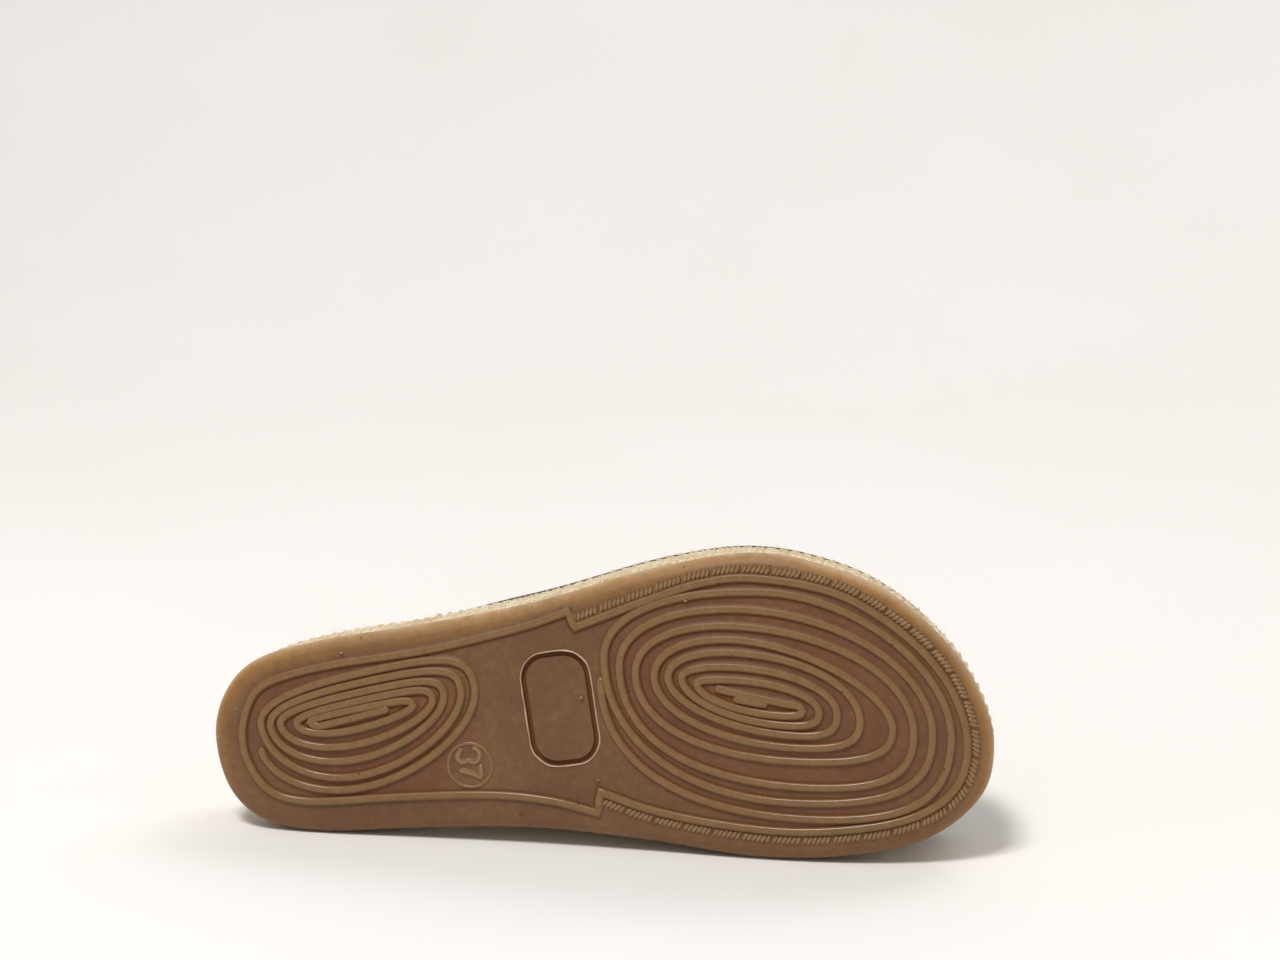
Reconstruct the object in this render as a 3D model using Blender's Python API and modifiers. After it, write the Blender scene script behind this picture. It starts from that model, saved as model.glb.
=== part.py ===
"""Backless clog for the right foot: rubber outsole, jute midsole, insole and felt upper.

Modelled standing, heel to toe along +X with the inner side towards +Y and the tread at the bottom,
then laid on its inner side. Sizes and tables are in millimetres and become metres through MM.
"""
import math

import bmesh
import bpy
from mathutils import Matrix, Vector
from mathutils.geometry import interpolate_bezier

MM = 0.001

# Outline of the rubber seen from above: along from near the heel back, across from near the inner edge
HEEL_BACK = (-1.5, 30.0)
INNER_EDGE = ((3.1, 12.4), (14.6, 2.2), (34.0, -0.7), (66.0, 2.2), (104.0, 4.6), (142.0, 2.8),
              (176.0, -0.6), (206.0, 1.4), (230.6, 8.3), (246.2, 22.4))
TOE_TIP = (249.3, 39.0)
OUTER_EDGE = ((2.5, 45.0), (13.6, 55.7), (36.0, 62.8), (66.0, 68.8), (104.0, 77.9), (140.0, 89.8),
              (172.0, 96.5), (196.0, 93.4), (217.0, 84.9), (235.0, 69.1), (245.0, 53.8))

# Heights
TOE_SPRING = 5.0
SPRING_START = 182.0
TREAD_FIELD = 1.0
RUBBER_TOP = 8.0
JUTE_ROWS = 3
JUTE_ROW = 5.0
HEEL_LIFT = 3.0
LIFT_FULL_AT = 45.0
LIFT_NONE_AT = 125.0
INSOLE_THICK = 4.0
SEAT_GAP = 0.3

# Rubber edge from the field to the top: inset from the outline, height above the tread plane
RUBBER_EDGE = ((7.0, TREAD_FIELD), (4.2, 1.2), (2.0, 2.1), (0.6, 3.7), (0.0, 5.6), (0.3, 7.3),
               (1.0, RUBBER_TOP))

# Jute edge
JUTE_GROOVE = 2.2
JUTE_CREST = 1.25
JUTE_ROW_RINGS = 4
JUTE_ROUNDNESS = 0.7

# How far jute and upper stand out further on the outer side: along, outwards
OUTER_FLARE = ((-1.5, 0.0), (40.0, 0.4), (70.0, 0.7), (90.0, 1.4), (120.0, 1.8), (150.0, 1.6), (165.0, 1.1),
               (178.0, 0.4), (200.0, 0.4), (218.0, -0.3), (240.0, -0.3), (249.3, 0.0))

# Insole edge: inset at the open heel and inside the upper, with the length where it changes
INSOLE_HEEL_INSET = 2.4
INSOLE_VAMP_INSET = 6.2
INSOLE_STEP = (38.0, 52.0)
INSOLE_ROUND = 1.0
INSOLE_CORNER = 0.3

# Upper
UPPER_WALL = 2.6
UPPER_INSET = 2.4
UPPER_SQUARE = 2.5
INNER_BULGE = 2.9
OUTER_BULGE = 1.3
UPPER_SKEW = 0.18
COLLAR_OUTER = 56.0
COLLAR_INNER = 66.0
COLLAR_SWEEP = 0.5
THROAT = 110.0
CROWN = ((60.0, 64.0), (95.0, 64.0), (112.0, 61.5), (130.0, 55.5), (150.0, 48.5), (175.0, 40.5),
         (200.0, 34.0), (220.0, 29.0), (233.0, 24.0), (240.0, 18.8), (244.5, 12.2), (247.4, 0.0))
SWELL_FULL_AT = 40.0
UPPER_COLUMNS = 28
UPPER_ROWS = 20
SHARE_TOLERANCE = 1e-6

# Ribs of the tread
RIB_TOP = 1.7
RIB_BASE = 2.2
RIB_SINK = 0.7
MITRE_LIMIT = 0.6
BEZIER_STEPS = 7
END_FULLNESS = 0.1
SPIRAL_COLUMNS = ("left", "low", "right", "high")

# Each turn by its four outermost points. Fullness is that of the quarter that leaves a side, turn by turn:
# further turns keep the last value
HEEL_TURNS = (
    ((15.0, 27.1), (49.0, 15.7), (85.8, 51.6), (58.0, 55.8)),
    ((15.5, 33.4), (48.5, 19.6), (81.3, 50.4), (56.0, 52.1)),
    ((18.6, 33.8), (47.5, 25.0), (75.8, 48.4), (57.0, 49.3)),
    ((21.8, 35.0), (47.0, 29.7), (72.2, 46.4), (58.0, 46.8)),
    ((27.2, 35.6), (45.0, 34.2), (65.8, 43.8), (54.0, 43.2)),
    ((31.8, 36.6), (35.4, 35.3), None, None),
)
HEEL_END = (58.0, 42.1)
HEEL_TILT = 14.0
HEEL_FULLNESS = {"left": (0.55,), "low": (0.48,), "right": (0.78,), "high": (0.72,)}
FORE_TURNS = (
    ((126.4, 55.8), (192.0, 13.7), (236.4, 40.5), (178.0, 85.2)),
    ((127.5, 62.5), (187.0, 18.7), (230.7, 41.0), (171.0, 79.5)),
    ((132.4, 60.0), (192.0, 23.8), (224.9, 41.5), (168.0, 74.1)),
    ((137.5, 58.0), (188.0, 32.0), (218.4, 43.0), (168.0, 69.8)),
    ((143.5, 57.0), (189.0, 36.3), (208.3, 45.0), (168.0, 65.7)),
    ((147.9, 57.0), (189.0, 40.2), (201.2, 47.0), (168.0, 61.1)),
    ((152.2, 57.0), (186.0, 43.3), (195.6, 47.5), (168.0, 57.0)),
    ((157.0, 55.4), (184.0, 46.4), (190.3, 48.2), (187.2, 50.0)),
)
FORE_END = (162.7, 54.1)
FORE_TILT = 0.0
FORE_FULLNESS = {"left": (0.63, 0.59, 0.63, 0.61, 0.55, 0.51), "low": (0.73,),
                 "right": (0.49, 0.54, 0.56, 0.44, 0.56), "high": (0.60,)}
FORE_BAR = ((168.5, 51.0), (179.6, 49.6))

# Border ridge: heel part and forefoot part, joined by a short step at each side of the waist
BORDER_HEEL = ((116.0, 76.4), (100.0, 70.4), (70.0, 61.8), (40.0, 55.8), (22.0, 50.6), (13.3, 45.1),
               (9.2, 34.0), (10.5, 23.0), (18.0, 13.0), (32.0, 10.2), (60.0, 13.2), (90.0, 15.7),
               (110.0, 15.0), (126.3, 11.8))
BORDER_FORE = ((126.6, 18.7), (145.0, 13.4), (170.0, 10.0), (195.0, 9.7), (222.0, 14.4), (237.1, 24.0),
               (241.4, 39.0), (235.5, 57.2), (221.6, 73.0), (200.2, 85.5), (175.0, 89.4), (158.0, 87.2),
               (140.0, 80.6), (117.9, 71.3))
BORDER_STEPS = 3

# Pocket at the waist: a rounded rectangle turned a little
POCKET_CENTRE = (113.5, 45.4)
POCKET_ALONG = 21.6
POCKET_ACROSS = 37.0
POCKET_TURN = 9.0
POCKET_RADIUS = 6.0
POCKET_DEPTH = 0.8
POCKET_REACH = 4.0
POCKET_CORNER_STEPS = 4

# Sampling
EDGE_STEPS = 40
CURVE_STEPS = 24

# Rest on the inner side: how far the tread faces up
LIE_TILT = 3.8

COLOURS = {
    "outsole": (0.18, 0.10, 0.055, 1.0),
    "midsole": (0.72, 0.57, 0.30, 1.0),
    "insole": (0.30, 0.29, 0.27, 1.0),
    "upper": (0.055, 0.062, 0.072, 1.0),
}


def smoothstep(start, end, value):
    """Run from 0 to 1 without corners between start and end."""
    t = min(max((value - start) / (end - start), 0.0), 1.0)
    return t * t * (3.0 - 2.0 * t)


def spring(x):
    """Lift of the toe above the tread plane."""
    reach = max(x - SPRING_START, 0.0) / (TOE_TIP[0] - SPRING_START)
    return TOE_SPRING * reach * reach


def heel_lift(x):
    """Extra height of the jute towards the heel."""
    return HEEL_LIFT * smoothstep(LIFT_NONE_AT, LIFT_FULL_AT, x)


def jute_top(x):
    """Height of the platform that carries insole and upper."""
    return RUBBER_TOP + SEAT_GAP + JUTE_ROWS * JUTE_ROW + heel_lift(x) + spring(x)


def curve_through(points, closed):
    """Catmull-Rom curve through the points as a fine polyline."""
    pts = [Vector(p) for p in points]
    count = len(pts)
    spans = count if closed else count - 1
    line = []
    for i in range(spans):
        if closed:
            a, b, c, d = (pts[(i + k) % count] for k in (-1, 0, 1, 2))
        else:
            b, c = pts[i], pts[i + 1]
            a = pts[i - 1] if i else b * 2.0 - c
            d = pts[i + 2] if i + 2 < count else c * 2.0 - b
        for s in range(CURVE_STEPS):
            t = s / CURVE_STEPS
            line.append(0.5 * (2.0 * b + (c - a) * t + (2.0 * a - 5.0 * b + 4.0 * c - d) * t ** 2
                               + (3.0 * b - a - 3.0 * c + d) * t ** 3))
    if not closed:
        line.append(pts[-1])
    return line


def arc_lengths(line):
    """Running length along a polyline."""
    total = [0.0]
    for a, b in zip(line, line[1:]):
        total.append(total[-1] + (b - a).length)
    return total


def at_length(line, lengths, value):
    """Point and direction at a running length."""
    i = 1
    while i < len(lengths) - 1 and lengths[i] < value:
        i += 1
    span = lengths[i] - lengths[i - 1]
    t = (value - lengths[i - 1]) / span
    before = line[max(i - 2, 0)]
    after = line[min(i + 1, len(line) - 1)]
    return line[i - 1].lerp(line[i], t), (after - before).normalized()


def outline_sides():
    """The inner and the outer half of the outline, each from the heel back to the toe tip."""
    points = (HEEL_BACK,) + INNER_EDGE + (TOE_TIP,) + OUTER_EDGE[::-1]
    line = curve_through(points, True)
    toe = (len(INNER_EDGE) + 1) * CURVE_STEPS
    inner = line[:toe + 1]
    outer = (line[toe:] + line[:1])[::-1]
    return (inner, arc_lengths(inner)), (outer, arc_lengths(outer))


INNER, OUTER = outline_sides()
CROWN_LINE = curve_through(CROWN, False)
FLARE_LINE = curve_through(OUTER_FLARE, False)


def value_at(line, x):
    """Value of a curve at a length, the last one beyond its end."""
    for a, b in zip(line, line[1:]):
        if x <= b.x:
            return a.lerp(b, (x - a.x) / (b.x - a.x)).y
    return line[-1].y


def edge_point(side, share, inset):
    """A point of one half of the outline, moved in from the edge: along, across."""
    line, lengths = side
    point, way = at_length(line, lengths, share * lengths[-1])
    inward = Vector((-way.y, way.x)) if side is INNER else Vector((way.y, -way.x))
    return point + inward * inset


def flared_point(side, share, inset):
    """A point like edge_point, further out where the platform is flared."""
    if side is OUTER:
        inset -= value_at(FLARE_LINE, edge_point(side, share, 0.0).x)
    return edge_point(side, share, inset)


def edge_ring(inset, place=edge_point):
    """Closed ring, the inner half to the toe and the outer half back. The inset may follow the length."""
    def on_edge(side, share):
        depth = inset(edge_point(side, share, 0.0).x) if callable(inset) else inset
        return place(side, share, depth)
    ring = [on_edge(INNER, i / EDGE_STEPS) for i in range(EDGE_STEPS + 1)]
    return ring + [on_edge(OUTER, i / EDGE_STEPS) for i in range(EDGE_STEPS - 1, 0, -1)]


def solid_point(point, height):
    """Standing frame, in metres: across runs towards -Y."""
    return (point.x * MM, -point.y * MM, height * MM)


def new_object(name, verts, faces, collection):
    """A mesh object with outward faces."""
    mesh = bpy.data.meshes.new(name)
    mesh.from_pydata(verts, [], faces)
    bm = bmesh.new()
    bm.from_mesh(mesh)
    bmesh.ops.recalc_face_normals(bm, faces=bm.faces)
    bm.to_mesh(mesh)
    bm.free()
    obj = bpy.data.objects.new(name, mesh)
    collection.objects.link(obj)
    return obj


def loft_edge_rings(name, rings, collection):
    """Solid through closed edge rings, capped by strips from side to side."""
    count = 2 * EDGE_STEPS
    verts = [p for ring in rings for p in ring]
    faces = []
    for r in range(len(rings) - 1):
        for i in range(count):
            j = (i + 1) % count
            faces.append((r * count + i, r * count + j, (r + 1) * count + j, (r + 1) * count + i))
    for first in (0, (len(rings) - 1) * count):
        for i in range(EDGE_STEPS):
            a, b = first + i, first + i + 1
            c, d = first + (count - i - 1) % count, first + (count - i) % count
            faces.append((a, b, d) if c == b else (a, b, c) if d == a else (a, b, c, d))
    return new_object(name, verts, faces, collection)


def spiral_path(turns, end, tilt, fullness):
    """Bezier path through the extreme points of every turn along tilted axes, straight into its end."""
    tilted = Matrix.Rotation(math.radians(tilt), 3, "Z")
    stops = []
    for turn, row in enumerate(turns):
        for column, point in zip(SPIRAL_COLUMNS, row):
            if point:
                full = fullness[column][min(turn, len(fullness[column]) - 1)]
                stops.append((Vector((*point, 0.0)) @ tilted, column, full))
    stops.append((Vector((*end, 0.0)) @ tilted, None, None))
    path = []
    for (p, from_column, full), (q, to_column, _) in zip(stops, stops[1:]):
        step = (q - p) * (full if to_column else END_FULLNESS)
        rising = from_column in ("left", "right")
        handle_p = p + Vector((0.0, step.y, 0.0) if rising else (step.x, 0.0, 0.0))
        handle_q = q - Vector((step.x, 0.0, 0.0) if rising else (0.0, step.y, 0.0)) if to_column else q - step
        piece = interpolate_bezier(p, handle_p, handle_q, q, BEZIER_STEPS + 1)
        path += [(tilted @ v).to_2d() for v in piece[:-1]]
    return path + [Vector(end)]


def border_path():
    """Closed border ridge, its two parts joined by the steps at the waist."""
    path = []
    for part in (BORDER_HEEL, BORDER_FORE):
        path += curve_through(part, False)[::CURVE_STEPS // BORDER_STEPS]
    return path


def rib(name, path, closed, collection):
    """Rib with a flat top on the tread plane and its foot sunk into the rubber."""
    section = ((RIB_BASE / 2.0, TREAD_FIELD + RIB_SINK), (RIB_TOP / 2.0, 0.0),
               (-RIB_TOP / 2.0, 0.0), (-RIB_BASE / 2.0, TREAD_FIELD + RIB_SINK))
    count = len(path)
    verts = []
    for i, point in enumerate(path):
        before = point - path[i - 1] if closed or i else path[1] - point
        after = path[(i + 1) % count] - point if closed or i + 1 < count else point - path[i - 1]
        way = (before.normalized() + after.normalized()).normalized()
        mitre = 1.0 / max(way.dot(after.normalized()), MITRE_LIMIT)
        side = Vector((-way.y, way.x)) * mitre
        verts += [solid_point(point + side * off, z + spring(point.x)) for off, z in section]
    faces = []
    for i in range(count if closed else count - 1):
        a, b = 4 * i, 4 * ((i + 1) % count)
        for k in range(4):
            m = (k + 1) % 4
            faces.append((a + k, a + m, b + m, b + k))
    if not closed:
        faces.append((3, 2, 1, 0))
        faces.append(tuple(4 * (count - 1) + k for k in range(4)))
    return new_object(name, verts, faces, collection)


def pocket_cutter(collection):
    """Rounded block that leaves the pocket in the tread field."""
    bm = bmesh.new()
    size = (POCKET_ALONG * MM, POCKET_ACROSS * MM, (POCKET_DEPTH + POCKET_REACH) * MM)
    bmesh.ops.create_cube(bm, size=1.0, matrix=Matrix.Diagonal((*size, 1.0)))
    upright = [e for e in bm.edges if abs(e.verts[0].co.z - e.verts[1].co.z) > size[2] / 2.0]
    bmesh.ops.bevel(bm, geom=upright, offset=POCKET_RADIUS * MM, segments=POCKET_CORNER_STEPS, profile=0.5,
                    affect="EDGES")
    middle = TREAD_FIELD + POCKET_DEPTH - (POCKET_DEPTH + POCKET_REACH) / 2.0
    place = Matrix.Translation(solid_point(Vector(POCKET_CENTRE), middle))
    bm.transform(place @ Matrix.Rotation(-math.radians(POCKET_TURN), 4, "Z"))
    mesh = bpy.data.meshes.new("pocket_cutter")
    bm.to_mesh(mesh)
    bm.free()
    obj = bpy.data.objects.new("pocket_cutter", mesh)
    collection.objects.link(obj)
    return obj


def combine(target, tool, operation):
    """Exact boolean with a tool object."""
    mod = target.modifiers.new(tool.name, "BOOLEAN")
    mod.object = tool
    mod.operation = operation
    mod.solver = "EXACT"
    mod.use_self = True


def make_outsole(parts, tools):
    """Rubber sole with its pocket and ribs."""
    rings = [[solid_point(p, z + spring(p.x)) for p in edge_ring(inset)] for inset, z in RUBBER_EDGE]
    sole = loft_edge_rings("outsole", rings, parts)
    combine(sole, pocket_cutter(tools), "DIFFERENCE")
    paths = (
        ("border_rib", border_path(), True),
        ("heel_rib", spiral_path(HEEL_TURNS, HEEL_END, HEEL_TILT, HEEL_FULLNESS), False),
        ("fore_rib", spiral_path(FORE_TURNS, FORE_END, FORE_TILT, FORE_FULLNESS), False),
        ("fore_bar", [Vector(p) for p in FORE_BAR], False),
    )
    for name, path, closed in paths:
        combine(sole, rib(name, path, closed, tools), "UNION")
    return sole


def make_midsole(parts):
    """Jute platform, scalloped in rows round its side."""
    rings = []
    steps = JUTE_ROWS * JUTE_ROW_RINGS
    for k in range(steps + 1):
        crest = abs(math.sin(math.pi * k / JUTE_ROW_RINGS)) ** JUTE_ROUNDNESS
        inset = JUTE_GROOVE + (JUTE_CREST - JUTE_GROOVE) * crest
        share = k / steps
        low = RUBBER_TOP + SEAT_GAP
        rings.append([solid_point(p, low + spring(p.x) + share * (jute_top(p.x) - spring(p.x) - low))
                      for p in edge_ring(inset, flared_point)])
    return loft_edge_rings("midsole", rings, parts)


def make_insole(parts):
    """Footbed with softened upper edge."""
    def inset(x):
        return INSOLE_HEEL_INSET + (INSOLE_VAMP_INSET - INSOLE_HEEL_INSET) * smoothstep(*INSOLE_STEP, x)
    rows = ((0.0, 0.0), (0.0, INSOLE_THICK - INSOLE_ROUND), (INSOLE_CORNER, INSOLE_THICK - INSOLE_CORNER),
            (INSOLE_ROUND, INSOLE_THICK))
    rings = []
    for more, up in rows:
        ring = edge_ring(lambda x, more=more: inset(x) + more)
        rings.append([solid_point(p, jute_top(p.x) + SEAT_GAP + up) for p in ring])
    return loft_edge_rings("insole", rings, parts)


def share_at(x):
    """Share of the outline halves whose middle lies at a length."""
    low, high = 0.0, 1.0
    while high - low > SHARE_TOLERANCE:
        share = (low + high) / 2.0
        middle = (flared_point(INNER, share, UPPER_INSET) + flared_point(OUTER, share, UPPER_INSET)) / 2.0
        if middle.x < x:
            low = share
        else:
            high = share
    return low


def upper_point(share, turn):
    """Point of the outer skin: share along the outline, turn over the ridge from the inner foot."""
    inner = flared_point(INNER, share, UPPER_INSET)
    outer = flared_point(OUTER, share, UPPER_INSET)
    middle = (inner + outer) / 2.0
    half = (outer - inner) / 2.0
    power = 2.0 / UPPER_SQUARE
    lean = -math.copysign(abs(math.cos(turn)) ** power, math.cos(turn))
    rise = math.sin(turn) ** power if 0.0 < turn < math.pi else 0.0
    height = value_at(CROWN_LINE, middle.x)
    bulge, reach = (INNER_BULGE, 1.0 - UPPER_SKEW) if lean < 0.0 else (OUTER_BULGE, 1.0 + UPPER_SKEW)
    swell = bulge * math.sin(2.0 * turn) * min(height / SWELL_FULL_AT, 1.0)
    across = middle + half * (lean * reach - UPPER_SKEW) - half.normalized() * swell
    return solid_point(across, jute_top(across.x) + SEAT_GAP + height * rise)


def make_upper(parts):
    """Hollow vamp: skin from the collar to the toe, thickened inwards."""
    grid = []
    for r in range(UPPER_ROWS + 1):
        turn = math.pi * r / UPPER_ROWS
        foot = COLLAR_INNER + (COLLAR_OUTER - COLLAR_INNER) * r / UPPER_ROWS
        start = share_at(foot + (THROAT - foot) * abs(math.sin(turn)) ** COLLAR_SWEEP)
        step = (1.0 - start) / UPPER_COLUMNS
        grid.append([upper_point(start + step * c, turn) for c in range(UPPER_COLUMNS)])
    verts = [p for row in grid for p in row]
    tip = len(verts)
    verts.append(upper_point(1.0, 0.0))
    faces = []
    for r in range(UPPER_ROWS):
        a, b = r * UPPER_COLUMNS, (r + 1) * UPPER_COLUMNS
        for c in range(UPPER_COLUMNS - 1):
            faces.append((a + c, a + c + 1, b + c + 1, b + c))
        faces.append((a + UPPER_COLUMNS - 1, tip, b + UPPER_COLUMNS - 1))
    upper = new_object("upper", verts, faces, parts)
    wall = upper.modifiers.new("wall", "SOLIDIFY")
    wall.thickness = UPPER_WALL * MM
    wall.offset = -1.0
    wall.use_even_offset = True
    return upper


def lay_down(objects, parts):
    """Turn everything onto the inner side and set the origin below the middle."""
    pose = bpy.data.objects.new("pose", None)
    bpy.context.scene.collection.objects.link(pose)
    for obj in objects:
        obj.parent = pose
    turn = Matrix.Rotation(-math.radians(90.0 + LIE_TILT), 4, "X")
    pose.matrix_world = turn
    bpy.context.view_layer.update()
    graph = bpy.context.evaluated_depsgraph_get()
    corners = []
    for obj in parts:
        shown = obj.evaluated_get(graph)
        mesh = shown.to_mesh()
        corners += [shown.matrix_world @ v.co for v in mesh.vertices]
        shown.to_mesh_clear()
    low = Vector([min(c[k] for c in corners) for k in range(3)])
    high = Vector([max(c[k] for c in corners) for k in range(3)])
    pose.matrix_world = Matrix.Translation((-(low.x + high.x) / 2.0, -(low.y + high.y) / 2.0, -low.z)) @ turn


def build():
    """Make every part and place it."""
    for obj in list(bpy.data.objects):
        bpy.data.objects.remove(obj, do_unlink=True)
    parts = bpy.data.collections.new("clog")
    tools = bpy.data.collections.new("cutters")
    for collection in (parts, tools):
        bpy.context.scene.collection.children.link(collection)
    shoe = [make_outsole(parts, tools), make_midsole(parts), make_insole(parts), make_upper(parts)]
    for obj in shoe:
        material = bpy.data.materials.new(obj.name)
        material.use_nodes = True
        material.node_tree.nodes["Principled BSDF"].inputs["Base Color"].default_value = COLOURS[obj.name]
        obj.data.materials.append(material)
    for tool in tools.objects:
        tool.hide_render = True
        tool.display_type = "WIRE"
    lay_down(shoe + list(tools.objects), shoe)


build()
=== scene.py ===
# %% [markdown]
# # A backless clog, lying on its inner side
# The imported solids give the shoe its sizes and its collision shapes. This lesson dresses them piece by
# piece: a moulded rubber sole with its spiral tread, braided jute round the platform, a felt footbed and a
# felt upper. Every piece is modelled standing, in millimetres, and laid on its side at the end.

import math
import random

import bmesh
import bpy
from mathutils import Matrix, Vector, noise
from mathutils.geometry import interpolate_bezier
from mathutils.kdtree import KDTree


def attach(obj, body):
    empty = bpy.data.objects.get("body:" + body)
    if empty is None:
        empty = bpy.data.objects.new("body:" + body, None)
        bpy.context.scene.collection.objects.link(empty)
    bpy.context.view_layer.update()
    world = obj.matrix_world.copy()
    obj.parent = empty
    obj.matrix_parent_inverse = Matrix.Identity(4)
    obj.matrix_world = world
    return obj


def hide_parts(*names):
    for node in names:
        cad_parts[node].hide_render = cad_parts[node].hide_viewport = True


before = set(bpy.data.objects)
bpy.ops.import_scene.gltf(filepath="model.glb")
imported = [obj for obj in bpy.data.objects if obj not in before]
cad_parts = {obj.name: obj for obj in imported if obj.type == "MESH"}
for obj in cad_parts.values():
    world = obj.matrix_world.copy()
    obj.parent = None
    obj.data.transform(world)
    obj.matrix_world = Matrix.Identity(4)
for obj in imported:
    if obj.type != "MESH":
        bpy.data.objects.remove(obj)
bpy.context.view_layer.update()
print("solids:", sorted(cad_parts))

# %% [markdown]
# ## The working frame
# A shoe is easiest to measure while it stands: along from the heel back, across from the inner side, up
# from the plane of the tread. One matrix then turns a finished shape onto its inner side and into metres,
# so that no object needs a place, a turn or a scale of its own.

# %% Standing millimetres to lying metres
MM = 0.001
LIE_TILT = 3.8
LIE_SHIFT = Vector((-123.9, -44.40799, 1.03734))
LYING = (Matrix.Diagonal((MM, MM, MM, 1.0)) @ Matrix.Translation(LIE_SHIFT)
         @ Matrix.Rotation(math.radians(-90.0 - LIE_TILT), 4, "X"))


def spot(along, across, up=0.0):
    """A point of the standing shoe. Across runs from the inner to the outer side, which is towards -Y."""
    return Vector((along, -across, up))


print("heel back lies at", [round(v, 4) for v in LYING @ spot(0.0, 30.0)])

# %% [markdown]
# ## The camera
# The photograph looks down on the tread from a little towards the toe, with a long lens. The camera stands
# at that angle, and turns and dips so that a point in the waist of the sole falls where the photograph has
# it.

# %% Camera
AIM = LYING @ spot(128.1, 47.2)
AIM_DISTANCE = 0.838
AIM_AZIMUTH = math.radians(10.705)
AIM_ELEVATION = math.radians(16.837)
CAMERA_TURN = math.radians(9.9183)
CAMERA_DIP = math.radians(12.0040)
SENSOR_WIDTH = 36.0
FOCAL_LENGTH = 74.736

lens = bpy.data.cameras.new("photo_camera")
lens.sensor_width = SENSOR_WIDTH
lens.lens = FOCAL_LENGTH
camera = bpy.data.objects.new("photo_camera", lens)
level = math.cos(AIM_ELEVATION)
camera.location = AIM + AIM_DISTANCE * Vector((math.sin(AIM_AZIMUTH) * level, -math.cos(AIM_AZIMUTH) * level,
                                               math.sin(AIM_ELEVATION)))
camera.rotation_euler = (math.radians(90.0) - CAMERA_DIP, 0.0, CAMERA_TURN)
bpy.context.scene.collection.objects.link(camera)
bpy.context.scene.camera = camera
print("camera at", [round(v, 3) for v in camera.location])

# %% [markdown]
# ## Colours and shader nodes
# Colours are written as sRGB hex codes, as a paint shop gives them, and one function turns them into the
# linear values that shaders read. A node tree is easiest to follow as text when every node is one line, so
# one function adds a node, sets it and links whatever is handed to its sockets.

# %% Colours and nodes
# Sockets of a node that mixes colours: share of the second colour, first colour, second colour, result
SHARE, UNDER, OVER, MIXED = 0, 6, 7, 2
LAYERED = {"data_type": "RGBA"}
TINTED = {"data_type": "RGBA", "blend_type": "MULTIPLY"}


def paint(code):
    """sRGB hex to the linear colour that the shaders read."""
    parts = [int(code[i:i + 2], 16) / 255.0 for i in (1, 3, 5)]
    return [c / 12.92 if c <= 0.04045 else ((c + 0.055) / 1.055) ** 2.4 for c in parts] + [1.0]


def add(tree, kind, inputs, stops=(), **settings):
    """Add a node. Settings go on the node, stops fill a colour ramp, and inputs are values, sockets or nodes.
    From a node the first output in use is linked."""
    made = tree.nodes.new("ShaderNode" + kind)
    for key, value in settings.items():
        setattr(made, key, value)
    for key, value in inputs.items():
        if isinstance(value, bpy.types.Node):
            value = next(socket for socket in value.outputs if socket.enabled)
        if isinstance(value, bpy.types.NodeSocket):
            tree.links.new(value, made.inputs[key])
        else:
            made.inputs[key].default_value = value
    for i, (place, shade) in enumerate(stops):
        ramp = made.color_ramp.elements
        stop = ramp[i] if i < 2 else ramp.new(place)
        stop.position = place
        stop.color = shade if isinstance(shade, (list, tuple)) else (shade, shade, shade, 1.0)
    return made


def new_material(name, **surface):
    """A material with its main shader, whose constant values are set on the sockets themselves."""
    material = bpy.data.materials.new(name)
    material.use_nodes = True
    tree = material.node_tree
    shader = tree.nodes["Principled BSDF"]
    for key, value in surface.items():
        shader.inputs[key.replace("_", " ")].default_value = value
    return material, tree, shader


print("middle grey in linear values:", round(paint("#808080")[0], 3))

# %% [markdown]
# ## Floor and light
# The floor is one sheet that bends up behind the shoe, so no horizon shows. A small softbox above and in
# front draws the soft shadow and the glints on the ribs, a wide one behind lights the back edge, and a pale
# room fills the rest.

# %% Floor and backdrop
FLOOR_SIZE = 8.0
BACK_AT = 1.6
BACK_HIGH = 3.0
BACK_BEND = 0.9
BEND_STEPS = 24
FLOOR_TONES = 3.0

# Matt painted board: pale and warm, no gloss, a trace of tone so that it is not a flat colour
board, tree, shader = new_material("matt_painted_board", Roughness=0.9, Specular_IOR_Level=0.15)
where = add(tree, "TexCoord", {}).outputs["Object"]
tone = add(tree, "TexNoise", {"Vector": where, "Scale": FLOOR_TONES, "Detail": 2.0})
shade = add(tree, "ValToRGB", {"Fac": tone}, stops=[(0.3, paint("#F0ECE8")), (0.7, paint("#F3F0ED"))])
tree.links.new(shade.outputs["Color"], shader.inputs["Base Color"])

bm = bmesh.new()
bmesh.ops.create_grid(bm, x_segments=1, y_segments=1, size=FLOOR_SIZE / 2.0)
bmesh.ops.translate(bm, verts=bm.verts, vec=(0.0, BACK_AT - FLOOR_SIZE / 2.0, 0.0))
back = max(bm.edges, key=lambda e: e.verts[0].co.y + e.verts[1].co.y)
grown = bmesh.ops.extrude_edge_only(bm, edges=[back])["geom"]
raised = [g for g in grown if isinstance(g, bmesh.types.BMVert)]
bmesh.ops.translate(bm, verts=raised, vec=(0.0, 0.0, BACK_HIGH))
bend = [e for e in bm.edges if len(e.link_faces) == 2]
bmesh.ops.bevel(bm, geom=bend, offset=BACK_BEND, segments=BEND_STEPS, profile=0.5, affect="EDGES",
                material=-1)
floor_mesh = bpy.data.meshes.new("studio_floor")
bm.to_mesh(floor_mesh)
bm.free()
floor_mesh.materials.append(board)
floor_mesh.shade_smooth()
floor = bpy.data.objects.new("studio_floor", floor_mesh)
bpy.context.scene.collection.objects.link(floor)
print("floor faces:", len(floor_mesh.polygons))

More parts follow.
